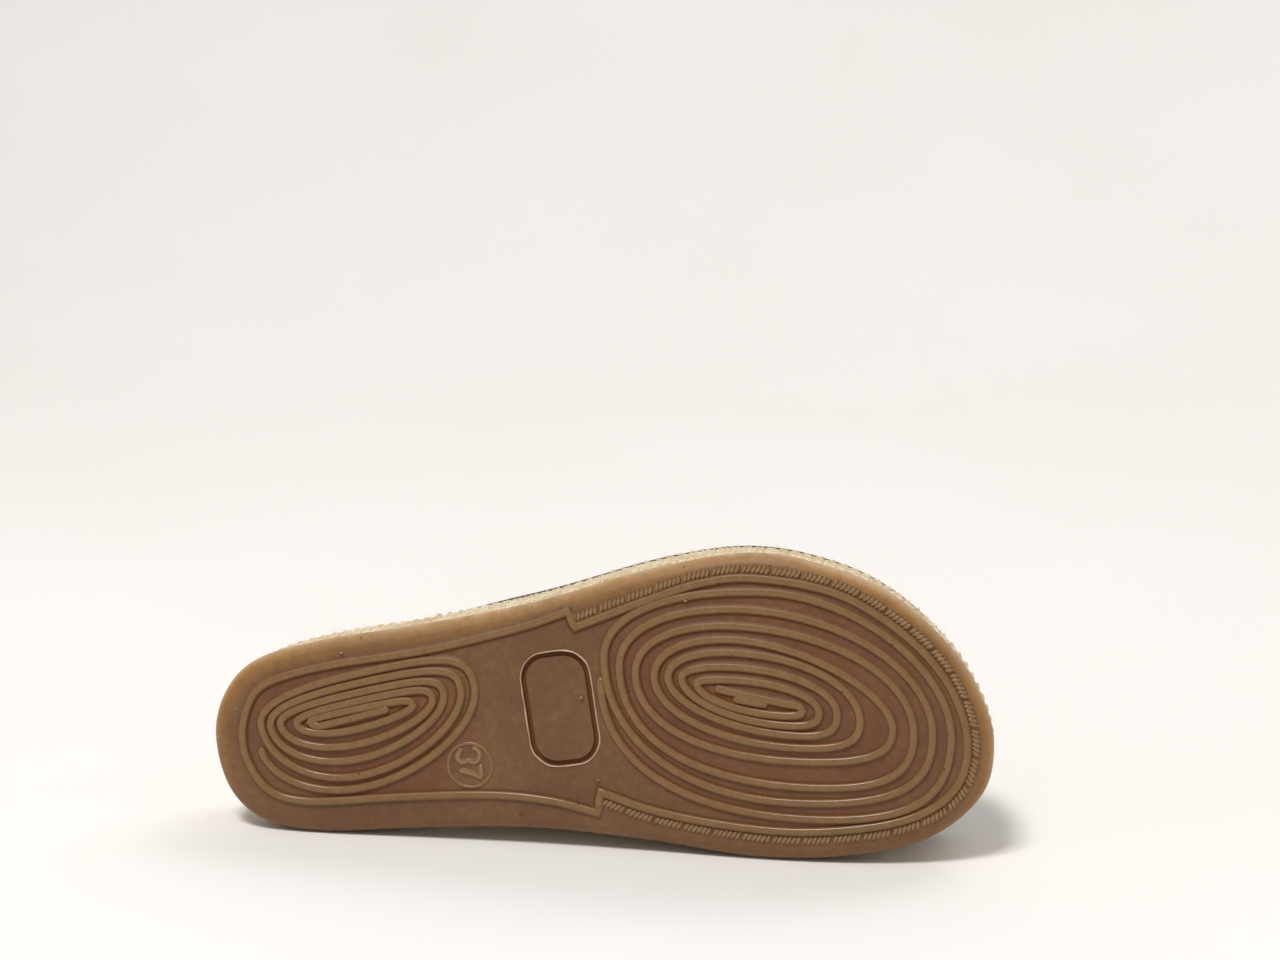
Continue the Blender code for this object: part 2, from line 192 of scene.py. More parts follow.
# %% Studio light
LIGHT_COLUMNS = ("name", "place", "size", "power")
LIGHTS = (
    ("key_softbox", (-0.40, -1.20, 2.40), 0.6, 48.5),
    ("back_softbox", (1.00, 1.50, 2.20), 1.4, 22.0),
)
ROOM_STRENGTH = 0.37

for row in LIGHTS:
    lamp = dict(zip(LIGHT_COLUMNS, row))
    data = bpy.data.lights.new(lamp["name"], "AREA")
    data.size = lamp["size"]
    data.energy = lamp["power"]
    light = bpy.data.objects.new(lamp["name"], data)
    light.location = lamp["place"]
    light.rotation_euler = (AIM - light.location).to_track_quat("-Z", "Y").to_euler()
    bpy.context.scene.collection.objects.link(light)
world = bpy.data.worlds.new("studio_room")
world.use_nodes = True
room = world.node_tree.nodes["Background"]
room.inputs["Color"].default_value = paint("#FFFDFA")
room.inputs["Strength"].default_value = ROOM_STRENGTH
bpy.context.scene.world = world
bpy.context.scene.view_settings.view_transform = "Standard"
print("lights:", [row[0] for row in LIGHTS])

# %% [markdown]
# ## The outline of the sole
# Every layer of the shoe follows one outline, so it is drawn once: a soft curve through a short table of
# points, as a pattern cutter would join pencil marks with a bent ruler. The layers above differ only in how
# far they step in from it and how high they run. The toe springs up a little and the jute thickens towards
# the heel.

# %% Outline table and heights
HEEL_BACK = (-1.5, 30.0)
INNER_EDGE = ((3.1, 12.4), (14.6, 2.2), (34.0, -0.7), (66.0, 2.2), (104.0, 4.6), (142.0, 2.8),
              (176.0, -0.6), (206.0, 1.4), (230.6, 8.3), (246.2, 22.4))
TOE_TIP = (249.3, 39.0)
OUTER_EDGE = ((2.5, 45.0), (13.6, 55.7), (36.0, 62.8), (66.0, 68.8), (104.0, 77.9), (140.0, 89.8),
              (172.0, 96.5), (196.0, 93.4), (217.0, 84.9), (235.0, 69.1), (245.0, 53.8))
TOE_SPRING = 5.0
SPRING_START = 182.0
TREAD_FIELD = 1.0
RUBBER_TOP = 8.0
JUTE_ROWS = 3
JUTE_ROW = 5.0
HEEL_LIFT = 3.0
LIFT_FULL_AT = 45.0
LIFT_NONE_AT = 125.0
SEAT_GAP = 0.3
OUTER_FLARE = ((-1.5, 0.0), (40.0, 0.4), (70.0, 0.7), (90.0, 1.4), (120.0, 1.8), (150.0, 1.6), (165.0, 1.1),
               (178.0, 0.4), (200.0, 0.4), (218.0, -0.3), (240.0, -0.3), (249.3, 0.0))


def ease(start, end, value):
    """Run from 0 to 1 without corners between start and end."""
    t = min(max((value - start) / (end - start), 0.0), 1.0)
    return t * t * (3.0 - 2.0 * t)


def spring(along):
    """Lift of the toe above the tread plane."""
    reach = max(along - SPRING_START, 0.0) / (TOE_TIP[0] - SPRING_START)
    return TOE_SPRING * reach * reach


def jute_height(along):
    """Height of the braided platform, thicker at the heel."""
    return JUTE_ROWS * JUTE_ROW + HEEL_LIFT * ease(LIFT_NONE_AT, LIFT_FULL_AT, along)


def jute_top(along):
    """Level that carries footbed and upper."""
    return RUBBER_TOP + SEAT_GAP + jute_height(along) + spring(along)


print("platform top at heel and toe:", round(jute_top(0.0), 2), round(jute_top(TOE_TIP[0]), 2), "mm")

# %% Soft lines
CURVE_STEPS = 24
TINY = 1e-9


def soft_line(points, closed=False, steps=CURVE_STEPS):
    """A soft curve through points: Bezier spans with handles a sixth as long as the neighbours are apart."""
    pts = [p.copy() for p in points]
    count = len(pts)
    line = []
    for i in range(count if closed else count - 1):
        b, c = pts[i], pts[(i + 1) % count]
        a = pts[i - 1] if closed or i else b * 2.0 - c
        d = pts[(i + 2) % count] if closed or i + 2 < count else c * 2.0 - b
        line += interpolate_bezier(b, b + (c - a) / 6.0, c - (d - b) / 6.0, c, steps + 1)[:-1]
    return line if closed else line + [pts[-1]]


def soft_table(table, steps=CURVE_STEPS):
    """A soft curve through a table of pairs, such as a length and a value."""
    return soft_line([Vector((*pair, 0.0)) for pair in table], steps=steps)


def length_of(line):
    """Length of an open line."""
    return sum((b - a).length for a, b in zip(line, line[1:]))


def evenly(line, gap, closed=False):
    """The same line with its points an even gap apart."""
    run = line + line[:1] if closed else line
    total = length_of(run)
    count = max(round(total / gap), 2)
    points = []
    passed = 0.0
    for a, b in zip(run, run[1:]):
        span = (b - a).length
        while len(points) * total / count < passed + span - TINY:
            points.append(a.lerp(b, (len(points) * total / count - passed) / span))
        passed += span
    return points if closed else points[:count] + [run[-1]]


def value_at(line, along):
    """Value of a curve at a length, the last one beyond its end."""
    for a, b in zip(line, line[1:]):
        if along <= b.x:
            return a.lerp(b, (along - a.x) / (b.x - a.x)).y
    return line[-1].y


round_the_sole = (HEEL_BACK,) + INNER_EDGE + (TOE_TIP,) + OUTER_EDGE[::-1]
OUTLINE = soft_line([spot(*p) for p in round_the_sole], closed=True)
FLARE_LINE = soft_table(OUTER_FLARE)
print("outline length", round(length_of(OUTLINE), 1), "mm")


# %% The outline moved in
def ways(line, closed):
    """Unit direction at every point of a line."""
    last = len(line) - 1
    found = []
    for i in range(len(line)):
        before = line[i - 1] if closed or i else line[0]
        after = line[(i + 1) % len(line)] if closed or i < last else line[last]
        found.append((after - before).normalized())
    return found


def inward(way):
    """Level direction to the right of a way, which is into the sole on its outline."""
    return Vector((way.y, -way.x, 0.0)).normalized()


def rim(inset, gap, flared=False):
    """The outline moved in, closed and evenly spaced. The inset may follow the length, and flare outside."""
    line = evenly(OUTLINE, gap, closed=True)
    ring = []
    for p, w in zip(line, ways(line, True)):
        depth = inset(p.x) if callable(inset) else inset
        if flared and inward(w).y > 0.0:
            depth -= value_at(FLARE_LINE, p.x)
        ring.append(p + inward(w) * depth)
    return ring


print("widest place of the sole:", round(max(-p.y for p in rim(0.0, 1.0)), 1), "mm from the inner side")

# %% [markdown]
# ## Two ways to shape a piece
# Most pieces of this shoe are either a plate, cut to the outline and given an edge by stepping its face in
# and out, or a bead, one small cross-section that follows a path. Two helpers make them with bmesh
# operators, and a third lays the finished shape on its side and ties it to the shoe.

# %% Plate and slices
PLATE_WELD = 1e-4
LENGTHWAYS = Vector((1.0, 0.0, 0.0))
CROSSWAYS = Vector((0.0, 1.0, 0.0))


def plate(ring, up, below, above):
    """Cut a plate to a ring. Each table steps one face in: inset from the ring, height."""
    bm = bmesh.new()
    first = bm.faces.new([bm.verts.new((p.x, p.y, up)) for p in ring])
    made = bmesh.ops.extrude_face_region(bm, geom=[first], use_keep_orig=True)["geom"]
    second = next(g for g in made if isinstance(g, bmesh.types.BMFace))
    bm.normal_update()
    lower, upper = sorted((first, second), key=lambda face: face.normal.z)
    for face, table, sign in ((lower, below, -1.0), (upper, above, 1.0)):
        inset, height = 0.0, up
        for next_inset, next_height in table:
            bmesh.ops.inset_region(bm, faces=[face], use_boundary=True, use_even_offset=True,
                                   thickness=next_inset - inset, depth=sign * (next_height - height))
            inset, height = next_inset, next_height
    bmesh.ops.remove_doubles(bm, verts=bm.verts, dist=PLATE_WELD)
    return bm


def slices(bm, way, start, end, gap):
    """Cut a plate across a way so that it can bend along it."""
    for i in range(int((end - start) / gap) + 1):
        geom = bm.verts[:] + bm.edges[:] + bm.faces[:]
        bmesh.ops.bisect_plane(bm, geom=geom, plane_co=way * (start + i * gap), plane_no=way)


print("plates are sliced along", tuple(LENGTHWAYS), "or", tuple(CROSSWAYS))

# %% Bead, join and finish
BEAD_WELD = 1e-5
SHARP_ANGLE = 50.0


def station(point, way, up, size=1.0, mitre=1.0):
    """Place of a cross-section: its x runs across the way, its y along up."""
    side = up.cross(way).normalized()
    rise = way.cross(side).normalized()
    turn = Matrix((side * size * mitre, rise * size, way)).transposed().to_4x4()
    return Matrix.Translation(point) @ turn


def bead(section, stations, closed=False, marks=None):
    """Wrap a grid round a row of stations. Marks gives the "raised" value of a corner at a station."""
    bm = bmesh.new()
    raised = bm.verts.layers.float.new("raised")
    wrap = bm.loops.layers.uv.new("wrap")
    corners, steps = len(section), len(stations) if closed else len(stations) - 1
    bmesh.ops.create_grid(bm, x_segments=corners, y_segments=steps, size=1.0)
    for face in bm.faces:
        for loop in face.loops:
            loop[wrap].uv = (loop.vert.co.y * steps / 2.0, loop.vert.co.x / 2.0)
    for v in bm.verts:
        corner = round((v.co.x + 1.0) / 2.0 * corners) % corners
        step = round((v.co.y + 1.0) / 2.0 * steps) % len(stations)
        v.co = stations[step] @ Vector((*section[corner][:2], 0.0))
        v[raised] = marks(corner, step) if marks else 0.0
    bmesh.ops.remove_doubles(bm, verts=bm.verts, dist=BEAD_WELD)
    bmesh.ops.holes_fill(bm, edges=bm.edges)
    return bm


def join(target, *others):
    """Pour other bmeshes into the first one."""
    for other in others:
        scrap = bpy.data.meshes.new("scrap")
        other.to_mesh(scrap)
        other.free()
        target.from_mesh(scrap)
        bpy.data.meshes.remove(scrap)
    return target


def finish_piece(bm, name, material):
    """Lay the shape down, turn its faces outwards and let it ride with the shoe."""
    bm.transform(LYING)
    bmesh.ops.recalc_face_normals(bm, faces=bm.faces)
    mesh = bpy.data.meshes.new(name)
    bm.to_mesh(mesh)
    bm.free()
    mesh.materials.append(material)
    mesh.shade_smooth()
    mesh.set_sharp_from_angle(angle=math.radians(SHARP_ANGLE))
    piece = bpy.data.objects.new(name, mesh)
    bpy.context.scene.collection.objects.link(piece)
    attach(piece, "root")
    mesh.calc_loop_triangles()
    print(name, "triangles:", len(mesh.loop_triangles))
    return piece


print("edges sharper than", SHARP_ANGLE, "degrees stay sharp")

# %% [markdown]
# ## Moulded gum rubber
# The sole is gum rubber pressed in a mould. Its colour is not even: the thin rounded rim lets light through
# and looks like honey, partly its own tone and partly painted light, with a painted highlight at its very
# edge.
# The flat field is duller and dusty, and painted darker and redder inside the spirals as painted shade. The
# tops of the ribs are polished a little by handling and painted lighter, partly as painted light and partly
# as cleaner rubber, while a dark line of painted shade runs along their feet. Two attributes on the mesh tell
# the
# material where it is: "rim" grows towards the outer edge and is painted weaker towards the inner side, which
# faces the floor, and "raised" runs from the painted shade at the foot of a rib, 0.1, to its top, 1, and a
# thin burr, 2.

# %% Gum rubber: textures and marks
RUBBER_BLOTCH = 26.0
RUBBER_MOTTLE = 2.6
RUBBER_GRAIN = 0.55
RUBBER_SPECK_GAP = 5.5


def per_metre(size):
    """Texture scale for a feature of a real size in millimetres."""
    return 1.0 / (size * MM)


# Gum rubber from a polished mould: satin, warm brown, a dull dusty field, painted shade in hollows, dark pin
# specks
gum_rubber, tree, shader = new_material("moulded_gum_rubber", IOR=1.5, Specular_IOR_Level=0.36)
where = add(tree, "TexCoord", {}).outputs["Object"]
blotch = add(tree, "TexNoise", {"Vector": where, "Scale": per_metre(RUBBER_BLOTCH), "Detail": 3.0})
mottle = add(tree, "TexNoise", {"Vector": where, "Scale": per_metre(RUBBER_MOTTLE), "Detail": 4.0,
                                "Roughness": 0.6})
grain = add(tree, "TexNoise", {"Vector": where, "Scale": per_metre(RUBBER_GRAIN), "Detail": 2.0})
speck = add(tree, "TexVoronoi", {"Vector": where, "Scale": per_metre(RUBBER_SPECK_GAP)})
raised = add(tree, "Attribute", {}, attribute_name="raised").outputs["Fac"]
lit_rim_mark = add(tree, "Attribute", {}, attribute_name="rim").outputs["Fac"]
cloud = add(tree, "Math", {0: blotch, 1: mottle}, operation="ADD")
even = add(tree, "Math", {0: cloud, 1: 0.5}, operation="MULTIPLY")
print("texture sizes:", RUBBER_BLOTCH, RUBBER_MOTTLE, RUBBER_GRAIN, "mm")

# %% Gum rubber: field, ribs and rim
# Fields inside the two spirals, painted darker and redder as painted shade: along, across, half length, half
# width
SPIRAL_ZONES = ((182.0, 49.0, 60.0, 40.0), (49.0, 37.0, 42.0, 27.0))

dusty = add(tree, "ValToRGB", {"Fac": even},
            stops=[(0.36, paint("#64442B")), (0.52, paint("#6E4D31")), (0.66, paint("#785738"))])
# Darker, redder field inside the spirals: painted shade among the close ribs
hollow_shade = add(tree, "ValToRGB", {"Fac": even},
             stops=[(0.36, paint("#633E25")), (0.52, paint("#6D472C")), (0.66, paint("#775134"))])
zones = []
for along, across, half_long, half_wide in SPIRAL_ZONES:
    spread = (per_metre(half_long), 0.0, per_metre(half_wide))
    away = add(tree, "VectorMath", {0: where, 1: LYING @ spot(along, across)}, operation="SUBTRACT")
    flat = add(tree, "VectorMath", {0: away, 1: spread}, operation="MULTIPLY")
    far = add(tree, "VectorMath", {0: flat}, operation="LENGTH")
    zones.append(add(tree, "ValToRGB", {"Fac": far}, stops=[(0.88, 1.0), (1.0, 0.0)]))
inside = add(tree, "Math", {0: zones[0], 1: zones[1]}, operation="MAXIMUM")
field = add(tree, "Mix", {SHARE: inside, UNDER: dusty, OVER: hollow_shade}, **LAYERED)
# Raised tops of ribs, strands and marks are painted lighter: partly painted light, partly cleaner rubber
rib_tone_and_light = add(tree, "ValToRGB", {"Fac": mottle}, stops=[(0.3, paint("#785936")), (0.7, paint("#84643E"))])
lifted = add(tree, "ValToRGB", {"Fac": raised}, stops=[(0.52, 0.0), (0.7, 1.0)])
with_ribs = add(tree, "Mix", {SHARE: lifted, UNDER: field, OVER: rib_tone_and_light}, **LAYERED)
# Honey rim: its own tone with painted light on the upward side; the palest outer stops are a painted
# highlight
honey_and_highlight = add(tree, "ValToRGB", {"Fac": lit_rim_mark},
            stops=[(0.45, paint("#815B38")), (0.72, paint("#8B6338")), (0.84, paint("#9A6F3F")),
                   (0.93, paint("#AC865A")), (1.0, paint("#C09E7B"))])
uneven = add(tree, "ValToRGB", {"Fac": even}, stops=[(0.4, 0.78), (0.58, 1.0)])
edged = add(tree, "Mix", {SHARE: 1.0, UNDER: honey_and_highlight, OVER: uneven}, **TINTED)
reach = add(tree, "ValToRGB", {"Fac": lit_rim_mark}, stops=[(0.15, 0.0), (0.6, 1.0)])
with_rim = add(tree, "Mix", {SHARE: reach, UNDER: with_ribs, OVER: edged}, **LAYERED)
print("nodes for the clean rubber:", len(tree.nodes))

# %% Gum rubber: painted shade, burr, specks and grain
# Painted shade: a dark reddish line where the raised mark is low, at the feet of ribs and in the groove
foot_shade = add(tree, "ValToRGB", {"Fac": raised}, stops=[(0.0, 0.0), (0.06, 0.8), (0.22, 0.8), (0.4, 0.0)])
with_painted_shade = add(tree, "Mix", {SHARE: foot_shade, UNDER: with_rim, OVER: paint("#603411")}, **LAYERED)
pale = add(tree, "MapRange", {"Value": raised, "From Min": 1.0, "From Max": 2.0})
flashed = add(tree, "Mix", {SHARE: pale, UNDER: with_painted_shade, OVER: paint("#CDB198")}, **LAYERED)
pin = add(tree, "ValToRGB", {"Fac": speck.outputs["Distance"]}, stops=[(0.05, 0.35), (0.1, 1.0)])
chance = add(tree, "SeparateColor", {"Color": speck.outputs["Color"]})
rare = add(tree, "ValToRGB", {"Fac": chance}, stops=[(0.3, 1.0), (0.32, 0.0)])
dotted = add(tree, "Mix", {SHARE: rare, UNDER: flashed, OVER: pin}, **TINTED)
dust = add(tree, "ValToRGB", {"Fac": grain}, stops=[(0.3, 0.93), (0.7, 1.06)])
grained = add(tree, "Mix", {SHARE: 1.0, UNDER: dotted, OVER: dust}, **TINTED)
tree.links.new(grained.outputs[MIXED], shader.inputs["Base Color"])
print("nodes with the dirt:", len(tree.nodes))

# %% Gum rubber: gloss and skin
GRAIN_HIGH = 0.06 * MM
MOTTLE_HIGH = 0.15 * MM

gloss = add(tree, "MapRange", {"Value": mottle, "To Min": 0.84, "To Max": 1.2})
wear = add(tree, "ValToRGB", {"Fac": raised},
           stops=[(0.0, 0.5), (0.08, 0.8), (0.25, 0.8), (0.42, 0.5), (0.7, 0.46), (0.9, 0.25), (1.0, 0.25)])
finish = add(tree, "Math", {0: gloss, 1: wear}, operation="MULTIPLY")
tree.links.new(finish.outputs["Value"], shader.inputs["Roughness"])
skin = add(tree, "Bump", {"Height": grain, "Strength": 0.25, "Distance": GRAIN_HIGH})
waves = add(tree, "Bump", {"Height": mottle, "Strength": 0.35, "Distance": MOTTLE_HIGH, "Normal": skin})
tree.links.new(waves.outputs["Normal"], shader.inputs["Normal"])
print("material", gum_rubber.name, "nodes:", len(tree.nodes))

# %% [markdown]
# ## The base of the sole
# Under the ribs lies one plate of rubber with a rolled edge. It could be lofted from many rings, but
# stepping one face in, again and again, follows the outline by itself. The plate is then sliced across and
# bent up at the toe. The panel in the waist is cut with a boolean: a shallow recess with a deeper groove
# round it.

# %% Rolled rubber plate
RIM_GAP = 1.4
WIDEST_AT = 5.6
EDGE_DOWN = ((0.0, WIDEST_AT), (0.22, 4.6), (0.6, 3.7), (1.2, 2.8), (2.0, 2.1), (3.0, 1.55),
             (4.2, 1.2), (5.6, 1.05), (7.0, TREAD_FIELD), (9.0, TREAD_FIELD), (11.0, TREAD_FIELD))
EDGE_UP = ((0.0, WIDEST_AT), (0.1, 6.6), (0.3, 7.3), (0.6, 7.75), (1.0, RUBBER_TOP))
PROFILE_STEPS = 3


def fine_profile(table):
    """A soft version of an edge table: inset, height."""
    return [p.to_2d() for p in soft_table(table, PROFILE_STEPS)][1:]


sole = plate(rim(0.0, RIM_GAP), WIDEST_AT, fine_profile(EDGE_DOWN), fine_profile(EDGE_UP))
print("rolled plate faces:", len(sole.faces))

# %% Shapes that cut the panel in the waist
POCKET_CENTRE = (113.5, 45.0)
POCKET_ALONG = 22.0
POCKET_ACROSS = 36.4
POCKET_TURN = 9.0
POCKET_RADIUS = 8.2
POCKET_CORNER_STEPS = 10
POCKET_STEP = 0.8
PANEL_DEPTH = 0.15
GROOVE_DEPTH = 1.0
GROOVE_WIDE = 1.6
GROOVE_SECTION = ((-0.80, -2.0), (0.80, -2.0), (0.76, 0.5), (0.55, GROOVE_DEPTH), (-0.55, GROOVE_DEPTH),
                  (-0.76, 0.5))
CUT_REACH = 4.0
UP = Vector((0.0, 0.0, 1.0))


def pocket_block(shrink, low, high):
    """Block with rounded upright edges, stepped in from the outline of the panel."""
    bm = bmesh.new()
    size = (POCKET_ALONG - 2.0 * shrink, POCKET_ACROSS - 2.0 * shrink, high - low, 1.0)
    bmesh.ops.create_cube(bm, size=1.0, matrix=Matrix.Diagonal(size))
    upright = [e for e in bm.edges if e.verts[0].co.z != e.verts[1].co.z]
    bmesh.ops.bevel(bm, geom=upright, offset=POCKET_RADIUS - shrink, segments=POCKET_CORNER_STEPS,
                    profile=0.5, affect="EDGES", material=-1)
    turn = Matrix.Rotation(math.radians(-POCKET_TURN), 4, "Z")
    bm.transform(Matrix.Translation(spot(*POCKET_CENTRE, (low + high) / 2.0)) @ turn)
    return bm


def pocket_ring(shrink, up):
    """Closed line along the rounded edge of the panel, stepped in."""
    block = pocket_block(shrink, up, up + 1.0)
    top = max(block.faces, key=lambda f: f.calc_center_median().z)
    line = [Vector((v.co.x, v.co.y, up)) for v in top.verts]
    block.free()
    return evenly(line, POCKET_STEP, closed=True)


groove_line = pocket_ring(GROOVE_WIDE / 2.0, TREAD_FIELD)
groove_stations = [station(p, w, UP) for p, w in zip(groove_line, ways(groove_line, True))]
groove = bead(GROOVE_SECTION, groove_stations, closed=True)
panel = pocket_block(GROOVE_WIDE / 2.0, -CUT_REACH, TREAD_FIELD + PANEL_DEPTH)
print("groove length:", round(length_of(groove_line), 1), "mm")

# %% Cut the panel, mark the rim and bend up the toe
SPRING_SLICE = 2.0
RIM_REACH = 11.0
# The rim mark carries painted light: full on the outer side, which faces up, weaker towards the floor
LIT_ACROSS = (2.0, 34.0)
SHADY = 0.56
# Raised mark of the painted shade, the dark reddish line at rib feet and in the groove round the panel
SHADE_MARK = 0.12
# Heights between which only the groove has points inside the rim; there it is painted dark as painted shade
GROOVE_SHADED = (TREAD_FIELD + GROOVE_DEPTH / 3.0, RUBBER_TOP / 2.0)


def carve(bm, cutters):
    """Cut shapes out of a bmesh with exact booleans."""
    made = []
    for i, shape in enumerate([bm] + cutters):
        bmesh.ops.recalc_face_normals(shape, faces=shape.faces)
        mesh = bpy.data.meshes.new("carve_" + str(i))
        shape.to_mesh(mesh)
        shape.free()
        made.append(bpy.data.objects.new(mesh.name, mesh))
        bpy.context.scene.collection.objects.link(made[-1])
    for tool in made[1:]:
        cut = made[0].modifiers.new(tool.name, "BOOLEAN")
        cut.object = tool
        cut.operation = "DIFFERENCE"
        cut.solver = "EXACT"
    result = bmesh.new()
    result.from_object(made[0], bpy.context.evaluated_depsgraph_get())
    for obj in made:
        mesh = obj.data
        bpy.data.objects.remove(obj)
        bpy.data.meshes.remove(mesh)
    return result


sole = carve(sole, [panel, groove])
slices(sole, LENGTHWAYS, SPRING_START, TOE_TIP[0], SPRING_SLICE)
edge_tree = KDTree(len(OUTLINE))
for i, p in enumerate(OUTLINE):
    edge_tree.insert(p, i)
edge_tree.balance()
lit_rim_layer = sole.verts.layers.float.new("rim")
raised_layer = sole.verts.layers.float["raised"]
for v in sole.verts:
    far = edge_tree.find(Vector((v.co.x, v.co.y, 0.0)))[2]
    lit = SHADY + (1.0 - SHADY) * ease(*LIT_ACROSS, -v.co.y)
    v[lit_rim_layer] = max(1.0 - far / RIM_REACH, 0.0) * lit
    # The groove's walls and floor get the mark of painted shade, a dark line in the recess
    if far > RIM_REACH and GROOVE_SHADED[0] < v.co.z < GROOVE_SHADED[1]:
        v[raised_layer] = SHADE_MARK
    v.co.z += spring(v.co.x)
rubber_base = finish_piece(sole, "rubber_base", gum_rubber)
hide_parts("outsole")

# %% [markdown]
# ## The ribs of the tread
# A border ridge runs once round the sole and steps in at the waist, and a long rib winds inwards under the
# heel and under the ball of the foot. Each winding is described by its four outermost points, turn by turn,
# and a Bezier quarter joins each pair. A small hat-shaped section follows the path: gentle on the outer
# flank, steep on the inner one, along whose foot a dark line of painted shade runs. Its brim is sunk into the
# field so that the rib seems to grow out of it, and it narrows into a round end.

# %% Paths of the ribs
SPIRAL_COLUMNS = ("left", "low", "right", "high")
HEEL_TURNS = (
    ((15.0, 27.1), (49.0, 15.7), (85.8, 51.6), (58.0, 55.8)),
    ((15.5, 33.4), (48.5, 19.6), (81.3, 50.4), (56.0, 52.1)),
    ((18.6, 33.8), (47.5, 25.0), (75.8, 48.4), (57.0, 49.3)),
    ((21.8, 35.0), (47.0, 29.7), (72.2, 46.4), (58.0, 46.8)),
    ((27.2, 35.6), (45.0, 34.2), (65.8, 43.8), (54.0, 43.2)),
    ((31.8, 36.6), (35.4, 35.3), None, None),
)
HEEL_END = (58.0, 42.1)
HEEL_TILT = 14.0
HEEL_FULLNESS = {"left": (0.55,), "low": (0.48,), "right": (0.78,), "high": (0.72,)}
FORE_TURNS = (
    ((126.4, 55.8), (192.0, 13.7), (236.4, 40.5), (178.0, 85.2)),
    ((127.5, 62.5), (187.0, 18.7), (230.7, 41.0), (171.0, 79.5)),
    ((132.4, 60.0), (192.0, 23.8), (224.9, 41.5), (168.0, 74.1)),
    ((137.5, 58.0), (188.0, 32.0), (218.4, 43.0), (168.0, 69.8)),
    ((143.5, 57.0), (189.0, 36.3), (208.3, 45.0), (168.0, 65.7)),
    ((147.9, 57.0), (189.0, 40.2), (201.2, 47.0), (168.0, 61.1)),
    ((152.2, 57.0), (186.0, 43.3), (195.6, 47.5), (168.0, 57.0)),
    ((157.0, 55.4), (184.0, 46.4), (190.3, 48.2), (187.2, 50.0)),
)
FORE_END = (162.7, 54.1)
FORE_TILT = 0.0
FORE_FULLNESS = {"left": (0.63, 0.59, 0.63, 0.61, 0.55, 0.51), "low": (0.73,),
                 "right": (0.49, 0.54, 0.56, 0.44, 0.56), "high": (0.60,)}
END_FULLNESS = 0.1
FORE_BAR = ((168.5, 51.0), (179.6, 49.6))
BORDER_HEEL = ((116.0, 76.4), (100.0, 70.4), (70.0, 61.8), (40.0, 55.8), (22.0, 50.6), (13.3, 45.1),
               (9.2, 34.0), (10.5, 23.0), (18.0, 13.0), (32.0, 10.2), (60.0, 13.2), (90.0, 15.7),
               (110.0, 15.0), (126.3, 11.8))
BORDER_FORE = ((126.6, 18.7), (145.0, 13.4), (170.0, 10.0), (195.0, 9.7), (222.0, 14.4), (237.1, 24.0),
               (241.4, 39.0), (235.5, 57.2), (221.6, 73.0), (200.2, 85.5), (175.0, 89.4), (158.0, 87.2),
               (140.0, 80.6), (117.9, 71.3))
QUARTER_STEPS = 20
BORDER_STEP = 1.6
CORNER_SHARES = (0.25, 0.75)


def spiral(turns, end, tilt, fullness):
    """Winding path through the outermost points of every turn along tilted axes, straight into its end."""
    tilted = Matrix.Rotation(math.radians(tilt), 3, "Z")
    stops = []
    for turn, row in enumerate(turns):
        for side, p in zip(SPIRAL_COLUMNS, row):
            if p:
                full = fullness[side][min(turn, len(fullness[side]) - 1)]
                stops.append((Vector((*p, 0.0)) @ tilted, side, full))
    stops.append((Vector((*end, 0.0)) @ tilted, None, None))
    path = []
    for (p, side, full), (q, next_side, _) in zip(stops, stops[1:]):
        step = (q - p) * (full if next_side else END_FULLNESS)
        rise, run = Vector((0.0, step.y, 0.0)), Vector((step.x, 0.0, 0.0))
        leave, arrive = (rise, run) if side in ("left", "right") else (run, rise)
        if not next_side:
            arrive = step
        path += interpolate_bezier(p, p + leave, q - arrive, q, QUARTER_STEPS + 1)[:-1]
    return [spot(*(tilted @ p).to_2d()) for p in path] + [spot(*end)]


border = []
for table in (BORDER_HEEL, BORDER_FORE):
    border += evenly(soft_line([spot(*p) for p in table]), BORDER_STEP)
border = [a.lerp(b, share) for a, b in zip(border, border[1:] + border[:1]) for share in CORNER_SHARES]
heel_path = spiral(HEEL_TURNS, HEEL_END, HEEL_TILT, HEEL_FULLNESS)
fore_path = spiral(FORE_TURNS, FORE_END, FORE_TILT, FORE_FULLNESS)
print("rib points:", len(border), len(heel_path), len(fore_path))

# %% Hat-shaped ribs
# Across from the outer side, proud of the field, raised mark. The lowest marks, at the inner foot, paint a
# dark line of painted shade there; the marks near 1 paint the top lighter, partly as painted light.
RIB_SECTION = (
    (-1.8, -0.12, 0.5), (-1.52, 0.05, 0.5), (-1.32, 0.30, 0.54), (-1.13, 0.60, 0.62), (-0.9, 0.84, 0.7),
    (-0.55, 0.96, 0.9), (0.0, 1.0, 1.0), (0.5, 0.99, 1.0), (0.78, 0.94, 1.0), (1.14, 0.67, 0.95),
    (1.27, 0.38, 0.5), (1.36, 0.14, SHADE_MARK), (1.58, 0.03, SHADE_MARK), (2.05, 0.02, 0.3), (2.55, -0.12, 0.45),
)
FOOT = 0.2
ROPE_FROM = 127.0
RIB_STEP = 1.1
ROUND_END = 1.3
SMALLEST = 0.2
MITRE_LEAST = 0.6
END_SHARES = (0.04, 0.2, 0.5)
DOWN = -UP


def on_field(point):
    """The point on the bent field of the sole."""
    return Vector((point.x, point.y, TREAD_FIELD + spring(point.x)))


